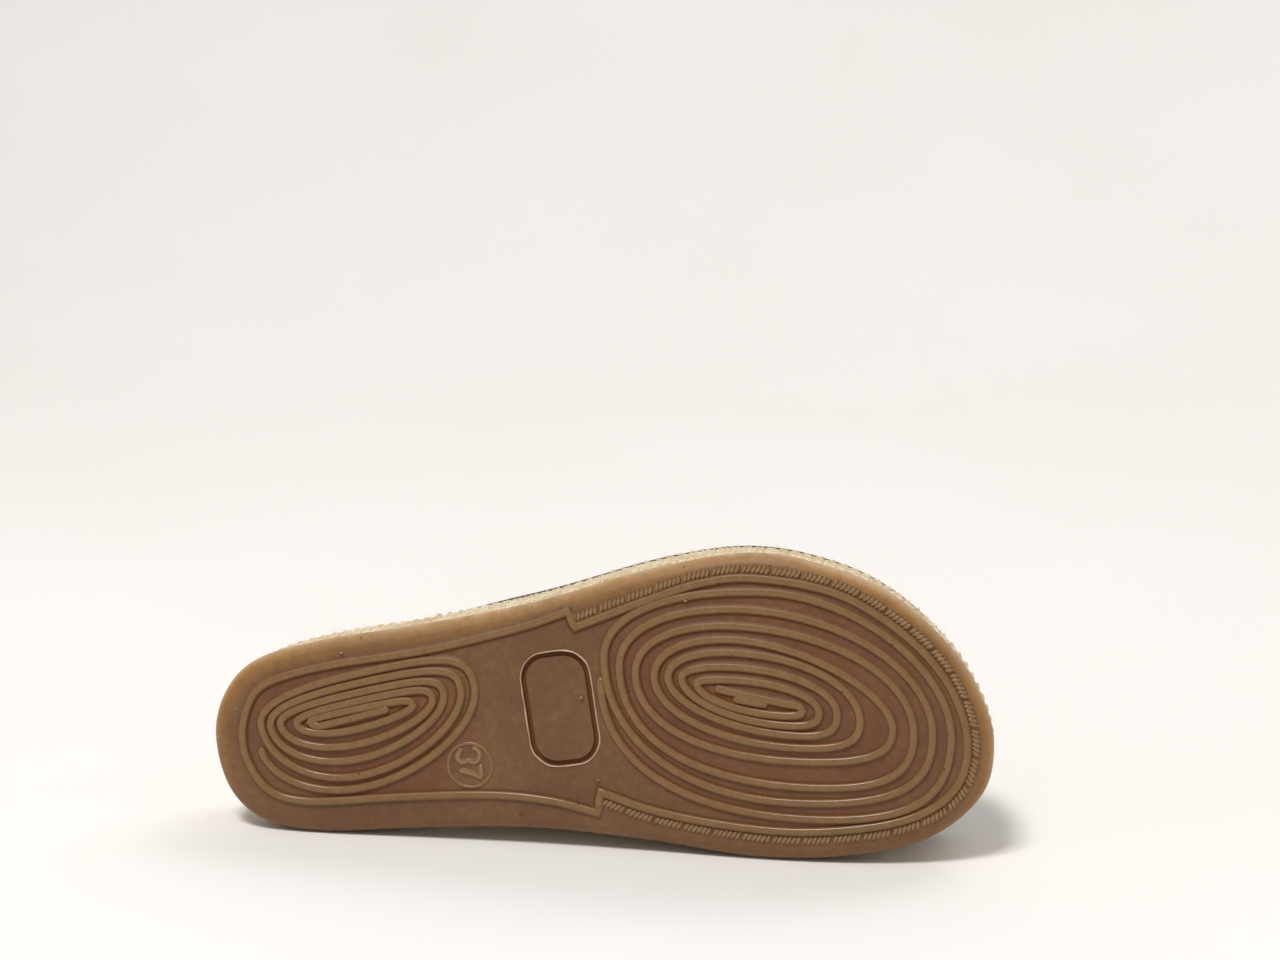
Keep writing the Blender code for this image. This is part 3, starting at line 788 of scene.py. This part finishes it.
def rib(path, closed=False, section=RIB_SECTION, end=ROUND_END):
    """Extrude a rib along a path on the field, mitred at corners and rounded at open ends."""
    line = [on_field(p) for p in path]
    stations = []
    passed = [0.0]
    for a, b in zip(line, line[1:]):
        passed.append(passed[-1] + (b - a).length)
    for i, point in enumerate(line):
        after = line[(i + 1) % len(line)] if closed or i + 1 < len(line) else point * 2.0 - line[i - 1]
        before = line[i - 1] if closed or i else point * 2.0 - line[1]
        ahead, behind = (after - point).normalized(), (point - before).normalized()
        way = (ahead + behind).normalized()
        left = min(passed[i], passed[-1] - passed[i]) / end
        size = 1.0 if closed or left >= 1.0 else max(math.sqrt(1.0 - (1.0 - left) ** 2), SMALLEST)
        stations.append(station(point, way, DOWN, size, 1.0 / max(way.dot(ahead), MITRE_LEAST)))

    def with_painted_shade(corner, step):
        """The section has a dark line of painted shade along its inner foot. Beside the rope it lies along
        the outer foot as well.
        """
        across, proud, value = section[corner]
        beside_rope = closed and across < 0.0 and proud < FOOT and stations[step].translation.x > ROPE_FROM
        return SHADE_MARK if beside_rope else value

    return bead(section, stations, closed, with_painted_shade)


def round_ends(path, gap):
    """Even points with a few close ones at both ends, where the rib rounds off."""
    line = evenly(path, gap)
    for index, other in ((0, 1), (-1, -2)):
        near = [line[index].lerp(line[other], t) for t in END_SHARES]
        line = line[:1] + near + line[1:] if index == 0 else line[:-1] + near[::-1] + line[-1:]
    return line


ribs = rib(border, closed=True)
for path in (heel_path, fore_path, [spot(*p) for p in FORE_BAR]):
    ribs = join(ribs, rib(round_ends(path, RIB_STEP)))
finish_piece(ribs, "tread_ribs", gum_rubber)

# %% [markdown]
# ## The moulded rope
# Just outside the border ridge of the forefoot the mould has a rope pattern, in short lengths with a gap
# between them. Each strand is a squashed sphere, laid at a slant in a straight length whose sides and ends
# are cut square. The length is then bent along the ridge.

# %% Rope along the forefoot
ROPE_OUT = 2.75
ROPE_PITCH = 9.45
ROPE_GAP = 0.7
ROPE_HALF_WIDE = 1.25
ROPE_STEP = 0.1
STRANDS = 6
STRAND_HALF = (1.95, 0.78, 0.55)
STRAND_SLANT = 60.0
# The strands are painted lighter towards their tops, a little paler than the ribs, as painted light
STRAND_TOP = (0.1, 0.42)
STRAND_MARKS = (0.42, 1.12)
BALL_SIDES = 8
BALL_BANDS = 6


def oval(half_wide, half_deep, corners):
    """Round or flattened cross-section."""
    turns = [2.0 * math.pi * k / corners for k in range(corners)]
    return [(half_wide * math.cos(turn), half_deep * math.sin(turn)) for turn in turns]


def ball(place, value=0.0):
    """Ball of radius one, marked with one value and then set in its place by a matrix."""
    rings = []
    for k in range(BALL_BANDS + 1):
        turn = math.pi * k / BALL_BANDS
        wide = math.sin(turn)
        rings.append(Matrix.Translation(UP * math.cos(turn)) @ Matrix.Diagonal((wide, wide, 1.0, 1.0)))
    bm = bead(oval(1.0, 1.0, BALL_SIDES), rings, marks=lambda corner, step: value)
    bm.transform(place)
    return bm


rope_line = soft_line([spot(*p) for p in BORDER_FORE])
rope_line = evenly([p - inward(w) * ROPE_OUT for p, w in zip(rope_line, ways(rope_line, False))], ROPE_STEP)
rope_ways = ways(rope_line, False)
rope_long = (len(rope_line) - 1) * ROPE_STEP
lengths = round(rope_long / ROPE_PITCH)
pitch = rope_long / lengths
low, high = STRAND_MARKS
rope = bmesh.new()
slant = Matrix.Rotation(math.radians(-STRAND_SLANT), 4, "Z") @ Matrix.Diagonal((*STRAND_HALF, 1.0))
for k in range(lengths * STRANDS):
    start = (k // STRANDS) * pitch + ROPE_GAP / 2.0
    end = start + pitch - ROPE_GAP
    along = start + (k % STRANDS + 0.5) * (end - start) / STRANDS
    strand = ball(Matrix.Translation((along, 0.0, 0.0)) @ slant)
    mark = strand.verts.layers.float["raised"]
    for v in strand.verts:
        i = round(min(max(v.co.x, start), end) / ROPE_STEP)
        left = min(max(v.co.y, -ROPE_HALF_WIDE), ROPE_HALF_WIDE)
        v[mark] = low + (high - low) * ease(*STRAND_TOP, -v.co.z)
        v.co = on_field(rope_line[i] - inward(rope_ways[i]) * left) + UP * v.co.z
    join(rope, strand)
finish_piece(rope, "tread_rope", gum_rubber)

# %% [markdown]
# ## Marks in the waist
# A thin burr of rubber stands round the panel where the mould halves met, and the size is moulded inside a
# ring as a plain number. The burr is a very small bead whose height wanders. The ring and the strokes of
# the number are beads too, with round ends, as a mould cutter makes them.

# %% Burr round the panel and the ring of the size mark
BURR_SECTION = ((-0.24, -0.2, 1.6), (-0.17, 0.2, 1.9), (0.0, 0.32, 2.0), (0.17, 0.2, 1.9), (0.24, -0.2, 1.6))
# The ring's top is painted a little paler, as painted light
RING_SECTION = ((-0.66, -0.2, 0.5), (-0.42, 0.28, 0.8), (0.0, 0.4, 1.1), (0.42, 0.28, 0.8), (0.66, -0.2, 0.5))
RING_CENTRE = (84.4, 25.0)
RING_RADIUS = 7.15
RING_STEPS = 56
BURR_WANDER = 0.2
BURR_OUT = 0.3
BURR_SWELL = 0.9
BURR_SEEDS = (0.0, 5.0, 9.0)
DRIFT_SCALE = 0.22
# Along, across, half length, half width, raised mark
SPECKS = (
    (42.2, 59.6, 0.45, 0.35, 1.5), (45.1, 45.4, 0.35, 0.25, 1.6), (7.4, 39.6, 0.3, 0.3, 1.5),
    (24.2, 50.9, 0.3, 0.22, 1.6), (153.1, 81.4, 0.6, 0.3, 1.8), (120.4, 48.9, 0.5, 0.7, 1.25),
    (100.9, 11.1, 0.6, 0.45, 1.0), (126.1, 22.7, 0.5, 0.25, 1.3), (40.6, 14.6, 0.2, 0.6, 1.5),
)
SPECK_PROUD = 1.15


def drift(p, seed):
    """A slow wandering value between about -1 and 1 at a place."""
    return noise.noise(Vector((p.x * DRIFT_SCALE, p.y * DRIFT_SCALE, seed)))


burr_line = pocket_ring(-BURR_OUT, TREAD_FIELD)
seed_x, seed_y, seed_size = BURR_SEEDS
burr_line = [p + Vector((drift(p, seed_x), drift(p, seed_y), 0.0)) * BURR_WANDER for p in burr_line]
burr_stations = [station(p, w, DOWN, 1.0 + BURR_SWELL * drift(p, seed_size))
                 for p, w in zip(burr_line, ways(burr_line, True))]
marks = bead(BURR_SECTION, burr_stations, True, lambda corner, step: BURR_SECTION[corner][2])
circle = bmesh.new()
bmesh.ops.create_circle(circle, segments=RING_STEPS, radius=RING_RADIUS,
                        matrix=Matrix.Translation(spot(*RING_CENTRE)))
circle.verts.ensure_lookup_table()
ring_line = [v.co.copy() for v in circle.verts]
circle.free()
join(marks, rib(ring_line, True, RING_SECTION))
for along, across, half_long, half_wide, value in SPECKS:
    squash = Matrix.Diagonal((half_long, half_wide, SPECK_PROUD, 1.0))
    join(marks, ball(Matrix.Translation(on_field(spot(along, across))) @ squash, value))
finish_piece(marks, "tread_marks", gum_rubber)

# %% Plain size number
# The strokes have a dark line of painted shadow round their feet and a lighter top, painted light
DIGIT_SECTION = ((-1.3, -0.1, 0.45), (-1.05, 0.03, 0.28), (-0.72, 0.36, 0.9), (0.0, 0.52, 1.2),
                 (0.72, 0.36, 0.9), (1.05, 0.03, 0.28), (1.3, -0.1, 0.45))
DIGIT_STROKES = (
    ((81.9, 30.2), (80.6, 28.8), (80.5, 27.0), (81.7, 25.8), (83.1, 26.2), (83.8, 27.2)),
    ((83.8, 27.2), (84.6, 26.3), (86.2, 26.2), (87.5, 27.6), (87.4, 29.4), (86.4, 30.5), (85.0, 30.6)),
    ((87.8, 25.7), (88.1, 23.3), (88.4, 21.1)),
    ((88.4, 21.1), (85.6, 22.1), (83.3, 22.8), (80.9, 23.1)),
)
DIGIT_STEP = 0.4
DIGIT_END = 0.75

number = bmesh.new()
for stroke in DIGIT_STROKES:
    line = soft_line([spot(*p) for p in stroke])
    join(number, rib(round_ends(line, DIGIT_STEP), False, DIGIT_SECTION, DIGIT_END))
finish_piece(number, "size_number", gum_rubber)

# %% [markdown]
# ## Braided jute
# The platform is wound from flat jute braid, three rows high. A braid of three strands has a simple rule:
# every strand swings up and down once while it dips in and out twice, and the three follow each other a
# third of a turn apart. Real strands give the scalloped edge that a bumped surface can't. The twist of the
# yarn and its fibres are finer, so they are left to the material, which follows the strand through its own
# UV map.

# %% Jute yarn material
YARN_FIBRE = 0.35
YARN_TWIST = 3.2
YARN_ROUND = 6.6
YARN_STRETCH = 0.12
YARN_PATCH = 7.0
YARN_PLIES = 2
PLY_HIGH = 0.22 * MM
FIBRE_HIGH = 0.25 * MM
STRAND_STEP = 1.0

# Raw jute yarn: pale gold, dry and rough, with darker flecks and split fibres that run with the twist
jute_yarn, tree, shader = new_material("raw_jute_yarn", Roughness=0.85, IOR=1.5, Sheen_Weight=0.25,
                                       Sheen_Roughness=0.5)
wrap = add(tree, "UVMap", {}, uv_map="wrap")
parts = add(tree, "SeparateXYZ", {"Vector": wrap})
twisted = add(tree, "Math", {0: parts.outputs["X"], 1: STRAND_STEP / YARN_TWIST, 2: parts.outputs["Y"]},
              operation="MULTIPLY_ADD")
across_yarn = add(tree, "Math", {0: twisted, 1: YARN_ROUND}, operation="MULTIPLY")
along_yarn = add(tree, "Math", {0: parts.outputs["X"], 1: YARN_STRETCH * STRAND_STEP}, operation="MULTIPLY")
fibre_place = add(tree, "CombineXYZ", {"X": across_yarn, "Y": along_yarn})
fibre = add(tree, "TexNoise", {"Vector": fibre_place, "Scale": 1.0 / YARN_FIBRE, "Detail": 3.0,
                               "Roughness": 0.65})
where = add(tree, "TexCoord", {}).outputs["Object"]
patch = add(tree, "TexNoise", {"Vector": where, "Scale": per_metre(YARN_PATCH), "Detail": 2.0})
straw = add(tree, "ValToRGB", {"Fac": fibre},
            stops=[(0.32, paint("#9C8058")), (0.43, paint("#DECBA6")), (0.56, paint("#F2E6CF")),
                   (0.72, paint("#FFFBF4"))])
aged = add(tree, "ValToRGB", {"Fac": patch}, stops=[(0.3, paint("#E6DBC4")), (0.7, paint("#FFFDFA"))])
yarn = add(tree, "Mix", {SHARE: 1.0, UNDER: straw, OVER: aged}, **TINTED)
tree.links.new(yarn.outputs[MIXED], shader.inputs["Base Color"])
ply_turn = add(tree, "Math", {0: twisted, 1: 2.0 * math.pi * YARN_PLIES}, operation="MULTIPLY")
ply = add(tree, "Math", {0: ply_turn}, operation="SINE")
ply_bump = add(tree, "Bump", {"Height": ply, "Strength": 0.6, "Distance": PLY_HIGH})
fibre_bump = add(tree, "Bump", {"Height": fibre, "Strength": 0.8, "Distance": FIBRE_HIGH, "Normal": ply_bump})
tree.links.new(fibre_bump.outputs["Normal"], shader.inputs["Normal"])
print("material", jute_yarn.name, "nodes:", len(tree.nodes))

# %% Three rows of braid
PLAIT = 12.0
BRAID_INSET = 2.75
BRAID_DIP = 0.55
YARN_WIDE = 1.2
YARN_DEEP = 0.9
YARN_CORNERS = 8
BRAID_STRANDS = 3
ROW_SHIFT = 0.37
ROW_OVERLAP = 0.1

yarn_section = oval(YARN_WIDE, YARN_DEEP, YARN_CORNERS)
braid_line = rim(BRAID_INSET, STRAND_STEP, flared=True)
braid_ways = ways(braid_line, True)
plaits = round(len(braid_line) * STRAND_STEP / PLAIT)


def strand_point(i, row, strand):
    """Middle of a strand at a step round the shoe."""
    base, out = braid_line[i], -inward(braid_ways[i])
    phase = 2.0 * math.pi * (plaits * i / len(braid_line) + strand / BRAID_STRANDS + row * ROW_SHIFT)
    row_high = jute_height(base.x) / JUTE_ROWS
    level = RUBBER_TOP + SEAT_GAP + spring(base.x) + (row + 0.5) * row_high
    swing = row_high / 2.0 - YARN_WIDE + ROW_OVERLAP
    return base + out * (BRAID_DIP * math.sin(2.0 * phase)) + UP * (level + swing * math.sin(phase))


braid = bmesh.new()
for row in range(JUTE_ROWS):
    for strand in range(BRAID_STRANDS):
        line = [strand_point(i, row, strand) for i in range(len(braid_line))]
        stations = [station(p, w, -inward(b)) for p, w, b in zip(line, ways(line, True), braid_ways)]
        join(braid, bead(yarn_section, stations, closed=True))
jute_braid = finish_piece(braid, "jute_braid", jute_yarn)
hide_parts("midsole")

# %% Core of the platform
CORE_INSET = 3.2
CORE_STEP = 3.0
CORE_EDGE = ((0.01, 1.0),)
CORE_SLICES = (10.0, 240.0, 6.0)

core = plate(rim(CORE_INSET, CORE_STEP, flared=True), 0.0, (), CORE_EDGE)
slices(core, LENGTHWAYS, *CORE_SLICES)
for v in core.verts:
    v.co.z = RUBBER_TOP + spring(v.co.x) + jute_height(v.co.x) * round(v.co.z)
finish_piece(core, "jute_core", jute_yarn)

# %% [markdown]
# ## Stray fibres
# Jute sheds: short fibres stand out of the braid all round. Each is one thin three-sided cone, so hundreds
# of them cost little. None is set where the shoe rests on the floor.

# %% Fibres that stand out of the braid
FIBRES = 900
FIBRE_LENGTH = (1.2, 3.4)
FIBRE_RADIUS = 0.055
FIBRE_TIP = 0.3
FIBRE_ROOT = 0.8
LEAN_OUT = (0.25, 1.0)
LEAN_ALONG = (-1.2, 1.2)
LEAN_UP = (-0.5, 0.5)
FIBRE_SEED = 37
FLOOR_CLEAR = 0.004

random.seed(FIBRE_SEED)
strays = bmesh.new()
for k in range(FIBRES):
    i = random.randrange(len(braid_line))
    start = strand_point(i, random.randrange(JUTE_ROWS), random.randrange(BRAID_STRANDS))
    out = -inward(braid_ways[i])
    lean = (out * random.uniform(*LEAN_OUT) + braid_ways[i] * random.uniform(*LEAN_ALONG)
            + UP * random.uniform(*LEAN_UP)).normalized()
    long = random.uniform(*FIBRE_LENGTH)
    middle = start + out * YARN_DEEP * FIBRE_ROOT + lean * long / 2.0
    if (LYING @ middle).z < FLOOR_CLEAR:
        continue
    place = Matrix.Translation(middle) @ lean.to_track_quat("Z", "Y").to_matrix().to_4x4()
    bmesh.ops.create_cone(strays, cap_ends=True, segments=3, radius1=FIBRE_RADIUS,
                          radius2=FIBRE_RADIUS * FIBRE_TIP, depth=long, matrix=place)
finish_piece(strays, "jute_fibres", jute_yarn)

# %% [markdown]
# ## Wool felt
# Footbed and upper are felt: matted wool with no thread direction, soft and without gloss. Its fibres are
# too fine to show one by one at this distance, so the mottling is drawn a little coarser than real. A sheen
# layer gives the pale edge that nap has when it is seen along the surface.

# %% Felt materials
FELT_CLUMP = 5.0
FELT_FIBRE = 0.7
NAP_HIGH = 0.3 * MM
CLUMP_HIGH = 0.5 * MM


def wool_felt(name, deep, middle, light):
    """Matted wool: clumps of tone, short pale fibres, nap."""
    material, tree, shader = new_material(name, Roughness=0.95, IOR=1.45, Sheen_Weight=0.35,
                                          Sheen_Roughness=0.6, Sheen_Tint=paint(light))
    where = add(tree, "TexCoord", {}).outputs["Object"]
    clump = add(tree, "TexNoise", {"Vector": where, "Scale": per_metre(FELT_CLUMP), "Detail": 4.0,
                                   "Roughness": 0.65})
    hairs = add(tree, "TexNoise", {"Vector": where, "Scale": per_metre(FELT_FIBRE), "Detail": 3.0,
                                   "Distortion": 2.2})
    mixed = add(tree, "Math", {0: clump, 1: hairs}, operation="ADD")
    halved = add(tree, "Math", {0: mixed, 1: 0.5}, operation="MULTIPLY")
    tone = add(tree, "ValToRGB", {"Fac": halved},
               stops=[(0.36, paint(deep)), (0.5, paint(middle)), (0.68, paint(light))])
    tree.links.new(tone.outputs["Color"], shader.inputs["Base Color"])
    nap = add(tree, "Bump", {"Height": hairs, "Strength": 0.9, "Distance": NAP_HIGH})
    soft = add(tree, "Bump", {"Height": clump, "Strength": 0.5, "Distance": CLUMP_HIGH, "Normal": nap})
    tree.links.new(soft.outputs["Normal"], shader.inputs["Normal"])
    print("material", name, "nodes:", len(tree.nodes))
    return material


dark_felt = wool_felt("charcoal_wool_felt", "#282522", "#3D3935", "#625C56")
stone_felt = wool_felt("stone_wool_felt", "#6E6860", "#8B857B", "#A8A299")

# %% [markdown]
# ## The footbed
# The footbed is a felt-covered layer on the platform. It is a plate with a softened edge, sliced both ways
# so that it can follow the heel lift and the toe spring and be pressed in a little under the heel and the
# ball.

# %% Pressed footbed
INSOLE_THICK = 4.0
INSOLE_HEEL_INSET = 2.6
INSOLE_VAMP_INSET = 5.6
INSOLE_STEP = (38.0, 52.0)
INSOLE_EDGE = ((0.02, 2.6), (0.15, 3.2), (0.5, 3.7), (1.1, 3.95), (2.0, INSOLE_THICK))
INSOLE_GAP = 2.0
SLICES_ALONG = (6.0, 240.0, 5.0)
SLICES_ACROSS = (-90.0, -5.0, 5.0)
# Along, across, reach, depth
PRESSES = ((34.0, 31.0, 26.0, 1.1), (178.0, 46.0, 34.0, 0.9), (222.0, 34.0, 14.0, 0.5))


def footbed_inset(along):
    """Edge of the footbed: wide at the open heel, inside the wall under the upper."""
    return INSOLE_HEEL_INSET + (INSOLE_VAMP_INSET - INSOLE_HEEL_INSET) * ease(*INSOLE_STEP, along)


footbed = plate(rim(footbed_inset, INSOLE_GAP), 0.0, (), INSOLE_EDGE)
slices(footbed, LENGTHWAYS, *SLICES_ALONG)
slices(footbed, CROSSWAYS, *SLICES_ACROSS)
for v in footbed.verts:
    share = v.co.z / INSOLE_THICK
    for along, across, reach, depth in PRESSES:
        far = (spot(along, across) - Vector((v.co.x, v.co.y, 0.0))).length / reach
        v.co.z -= share * depth * math.exp(-far * far)
    v.co.z += jute_top(v.co.x) + SEAT_GAP
felt_footbed = finish_piece(footbed, "felt_footbed", stone_felt)
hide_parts("insole")

# %% [markdown]
# ## The felt upper
# The upper is one moulded sheet of felt, from the topline over the instep to the toe. A flat grid is bent
# into that shape: one direction runs along the sole's outline, the other over the foot from the inner to
# the outer side. A few shallow creases are placed where the toes bend. The Solidify modifier then
# gives the sheet its real wall, towards the inside, and one subdivision rounds the cut edge.

# %% Shape of the vamp
UPPER_INSET = 2.4
OUTER_STEP = ((-1.5, 0.2), (60.0, 0.2), (88.0, 0.7), (115.0, 0.32), (160.0, 0.25), (200.0, 0.5), (249.3, 0.4))
UPPER_SINK = 0.7
UPPER_SQUARE = 2.5
INNER_BULGE = 2.9
OUTER_BULGE = 0.7
OUTER_FULL_AT = 130.0
SWELL_FULL_AT = 40.0
UPPER_SKEW = 0.18
COLLAR_OUTER = 56.0
THROAT = 110.0
CROWN = ((60.0, 64.0), (95.0, 64.0), (112.0, 61.5), (130.0, 55.5), (150.0, 48.5), (175.0, 40.5),
         (200.0, 34.0), (220.0, 29.0), (233.0, 24.0), (240.0, 18.8), (244.5, 12.2), (247.4, 0.0))
HALF_STEPS = 240
CLOSE = 1e-6

crown_line = soft_table(CROWN)
step_line = soft_table(OUTER_STEP)
toe_index = (len(INNER_EDGE) + 1) * CURVE_STEPS
halves = []
for half, side in ((OUTLINE[:toe_index + 1], 1.0), ((OUTLINE[toe_index:] + OUTLINE[:1])[::-1], -1.0)):
    marked = evenly(half, length_of(half) / HALF_STEPS)
    edge = []
    for p, w in zip(marked, ways(marked, False)):
        depth = UPPER_INSET
        if side < 0.0:
            depth = value_at(FLARE_LINE, p.x) - UPPER_INSET - value_at(step_line, p.x)
        edge.append(p + inward(w) * depth)
    halves.append(edge)


def at_share(line, share):
    """Point at a share of a line's points."""
    place = min(max(share, 0.0), 1.0) * (len(line) - 1)
    i = min(int(place), len(line) - 2)
    return line[i].lerp(line[i + 1], place - i)


def share_at(along):
    """Share of both edges whose middle lies at a length."""
    low, high = 0.0, 1.0
    while high - low > CLOSE:
        share = (low + high) / 2.0
        if (at_share(halves[0], share).x + at_share(halves[1], share).x) / 2.0 < along:
            low = share
        else:
            high = share
    return low


def upper_point(share, turn):
    """Point of the outer skin: share along the edges, turn over the foot from the inner side."""
    inner, outer = at_share(halves[0], share), at_share(halves[1], share)
    middle, half = (inner + outer) / 2.0, (outer - inner) / 2.0
    inside = math.cos(turn) > 0.0
    power = 2.0 / UPPER_SQUARE
    lean = abs(math.cos(turn)) ** power * (-1.0 if inside else 1.0)
    rise = max(math.sin(turn), 0.0) ** power
    height = value_at(crown_line, middle.x)
    fuller = OUTER_BULGE * ease(COLLAR_OUTER, OUTER_FULL_AT, middle.x)
    bulge, reach = (INNER_BULGE, 1.0 - UPPER_SKEW) if inside else (fuller, 1.0 + UPPER_SKEW)
    swell = bulge * math.sin(2.0 * turn) * min(height / SWELL_FULL_AT, 1.0)
    place = middle + half * (lean * reach - UPPER_SKEW) - half.normalized() * swell
    place.z = jute_top(place.x) + SEAT_GAP + (height + UPPER_SINK) * rise - UPPER_SINK
    return place


print("vamp ridge at the throat:", round(value_at(crown_line, THROAT), 1), "mm")

# %% Bent felt sheet with its creases
COLLAR_INNER = 66.0
COLLAR_SWEEP = 0.5
UPPER_WALL = 2.6
UPPER_COLUMNS = 64
UPPER_ROWS = 56
FELT_UNEVEN = 0.35
FELT_WAVES = 0.04
SHEET_WELD = 1e-3
TURN_NUDGE = 0.03
SHARE_NUDGE = 0.004
TOP_TURNS = (0.3, 2.8)
CREASE_BANK = 0.45
CREASE_BANK_WIDE = 6.0
CREASE_COLUMNS = ("along", "turn", "slant", "half_turn", "width", "depth")
CREASES = (
    (158.0, 1.45, 5.0, 0.55, 4.2, 0.9),
    (170.0, 1.60, -4.0, 0.70, 4.8, 1.1),
    (183.0, 1.50, 6.0, 0.45, 4.0, 0.7),
    (150.0, 2.35, 9.0, 0.35, 4.0, 0.8),
    (163.0, 0.70, -8.0, 0.30, 4.0, 0.8),
    (128.0, 2.60, 6.0, 0.30, 5.0, 0.7),
)


def crease(along, turn):
    """Depth of the creases at a place of the vamp, with a low swelling beside each."""
    depth = 0.0
    for row in CREASES:
        c = dict(zip(CREASE_COLUMNS, row))
        off = (turn - c["turn"]) / c["half_turn"]
        far = (along - c["along"] - c["slant"] * off) / c["width"]
        dent = math.exp(-far * far) - CREASE_BANK * math.exp(-far * far / CREASE_BANK_WIDE)
        depth += c["depth"] * math.exp(-off * off) * dent
    return depth


sheet = bmesh.new()
bmesh.ops.create_grid(sheet, x_segments=UPPER_COLUMNS, y_segments=UPPER_ROWS, size=1.0)
for v in sheet.verts:
    turn = math.pi * (v.co.y + 1.0) / 2.0
    foot = COLLAR_INNER + (COLLAR_OUTER - COLLAR_INNER) * turn / math.pi
    start = share_at(foot + (THROAT - foot) * abs(math.sin(turn)) ** COLLAR_SWEEP)
    share = start + (1.0 - start) * (v.co.x + 1.0) / 2.0
    place = upper_point(share, turn)
    near = (upper_point(share, min(turn + TURN_NUDGE, math.pi))
            - upper_point(share, max(turn - TURN_NUDGE, 0.0)))
    ahead = upper_point(min(share + SHARE_NUDGE, 1.0), turn) - upper_point(share - SHARE_NUDGE, turn)
    out = near.cross(ahead).normalized()
    if out.z < 0.0 and TOP_TURNS[0] < turn < TOP_TURNS[1]:
        out.negate()
    fade = math.sin(turn) * (1.0 - share) ** 0.5
    wobble = noise.noise(place * FELT_WAVES) * FELT_UNEVEN
    v.co = place + out * fade * (wobble - crease(place.x, turn))
bmesh.ops.remove_doubles(sheet, verts=sheet.verts, dist=SHEET_WELD)
felt_upper = finish_piece(sheet, "felt_upper", dark_felt)
wall = felt_upper.modifiers.new("wall", "SOLIDIFY")
wall.thickness = UPPER_WALL * MM
wall.offset = -1.0
wall.use_even_offset = True
smooth = felt_upper.modifiers.new("soft_edge", "SUBSURF")
smooth.levels = 1
smooth.render_levels = 1
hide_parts("upper")

# %% [markdown]
# ## Whip stitches
# A jute thread sews the felt to the platform: short upright stitches all round, each caught in the top row
# of the braid and sunk into the felt. Every stitch is a bead through five places, so the row follows the
# flare of the platform and the heel lift without more work.

# %% Stitches round the foot of the upper
STITCH_GAP = 3.8
STITCH_START = 12.0
STITCH_ROUND = 0.4
STITCH_CORNERS = 6
# Out from the edge of the felt, up from the platform
STITCH_PLACES = ((0.9, -2.1), (1.35, -1.3), (1.1, 0.3), (0.4, 1.7), (-0.5, 2.5))

stitch_section = oval(STITCH_ROUND, STITCH_ROUND, STITCH_CORNERS)
stitches = bmesh.new()
for half, foot, side in ((halves[0], COLLAR_INNER, -1.0), (halves[1], COLLAR_OUTER, 1.0)):
    seam = evenly([p for p in half if p.x > foot + STITCH_START], STITCH_GAP)
    for p, w in zip(seam, ways(seam, False)):
        out = inward(w) * side
        line = [p + out * away + UP * (jute_top(p.x) + up) for away, up in STITCH_PLACES]
        stations = [station(q, way, w) for q, way in zip(line, ways(line, False))]
        join(stitches, bead(stitch_section, stations))
finish_piece(stitches, "felt_stitches", jute_yarn)
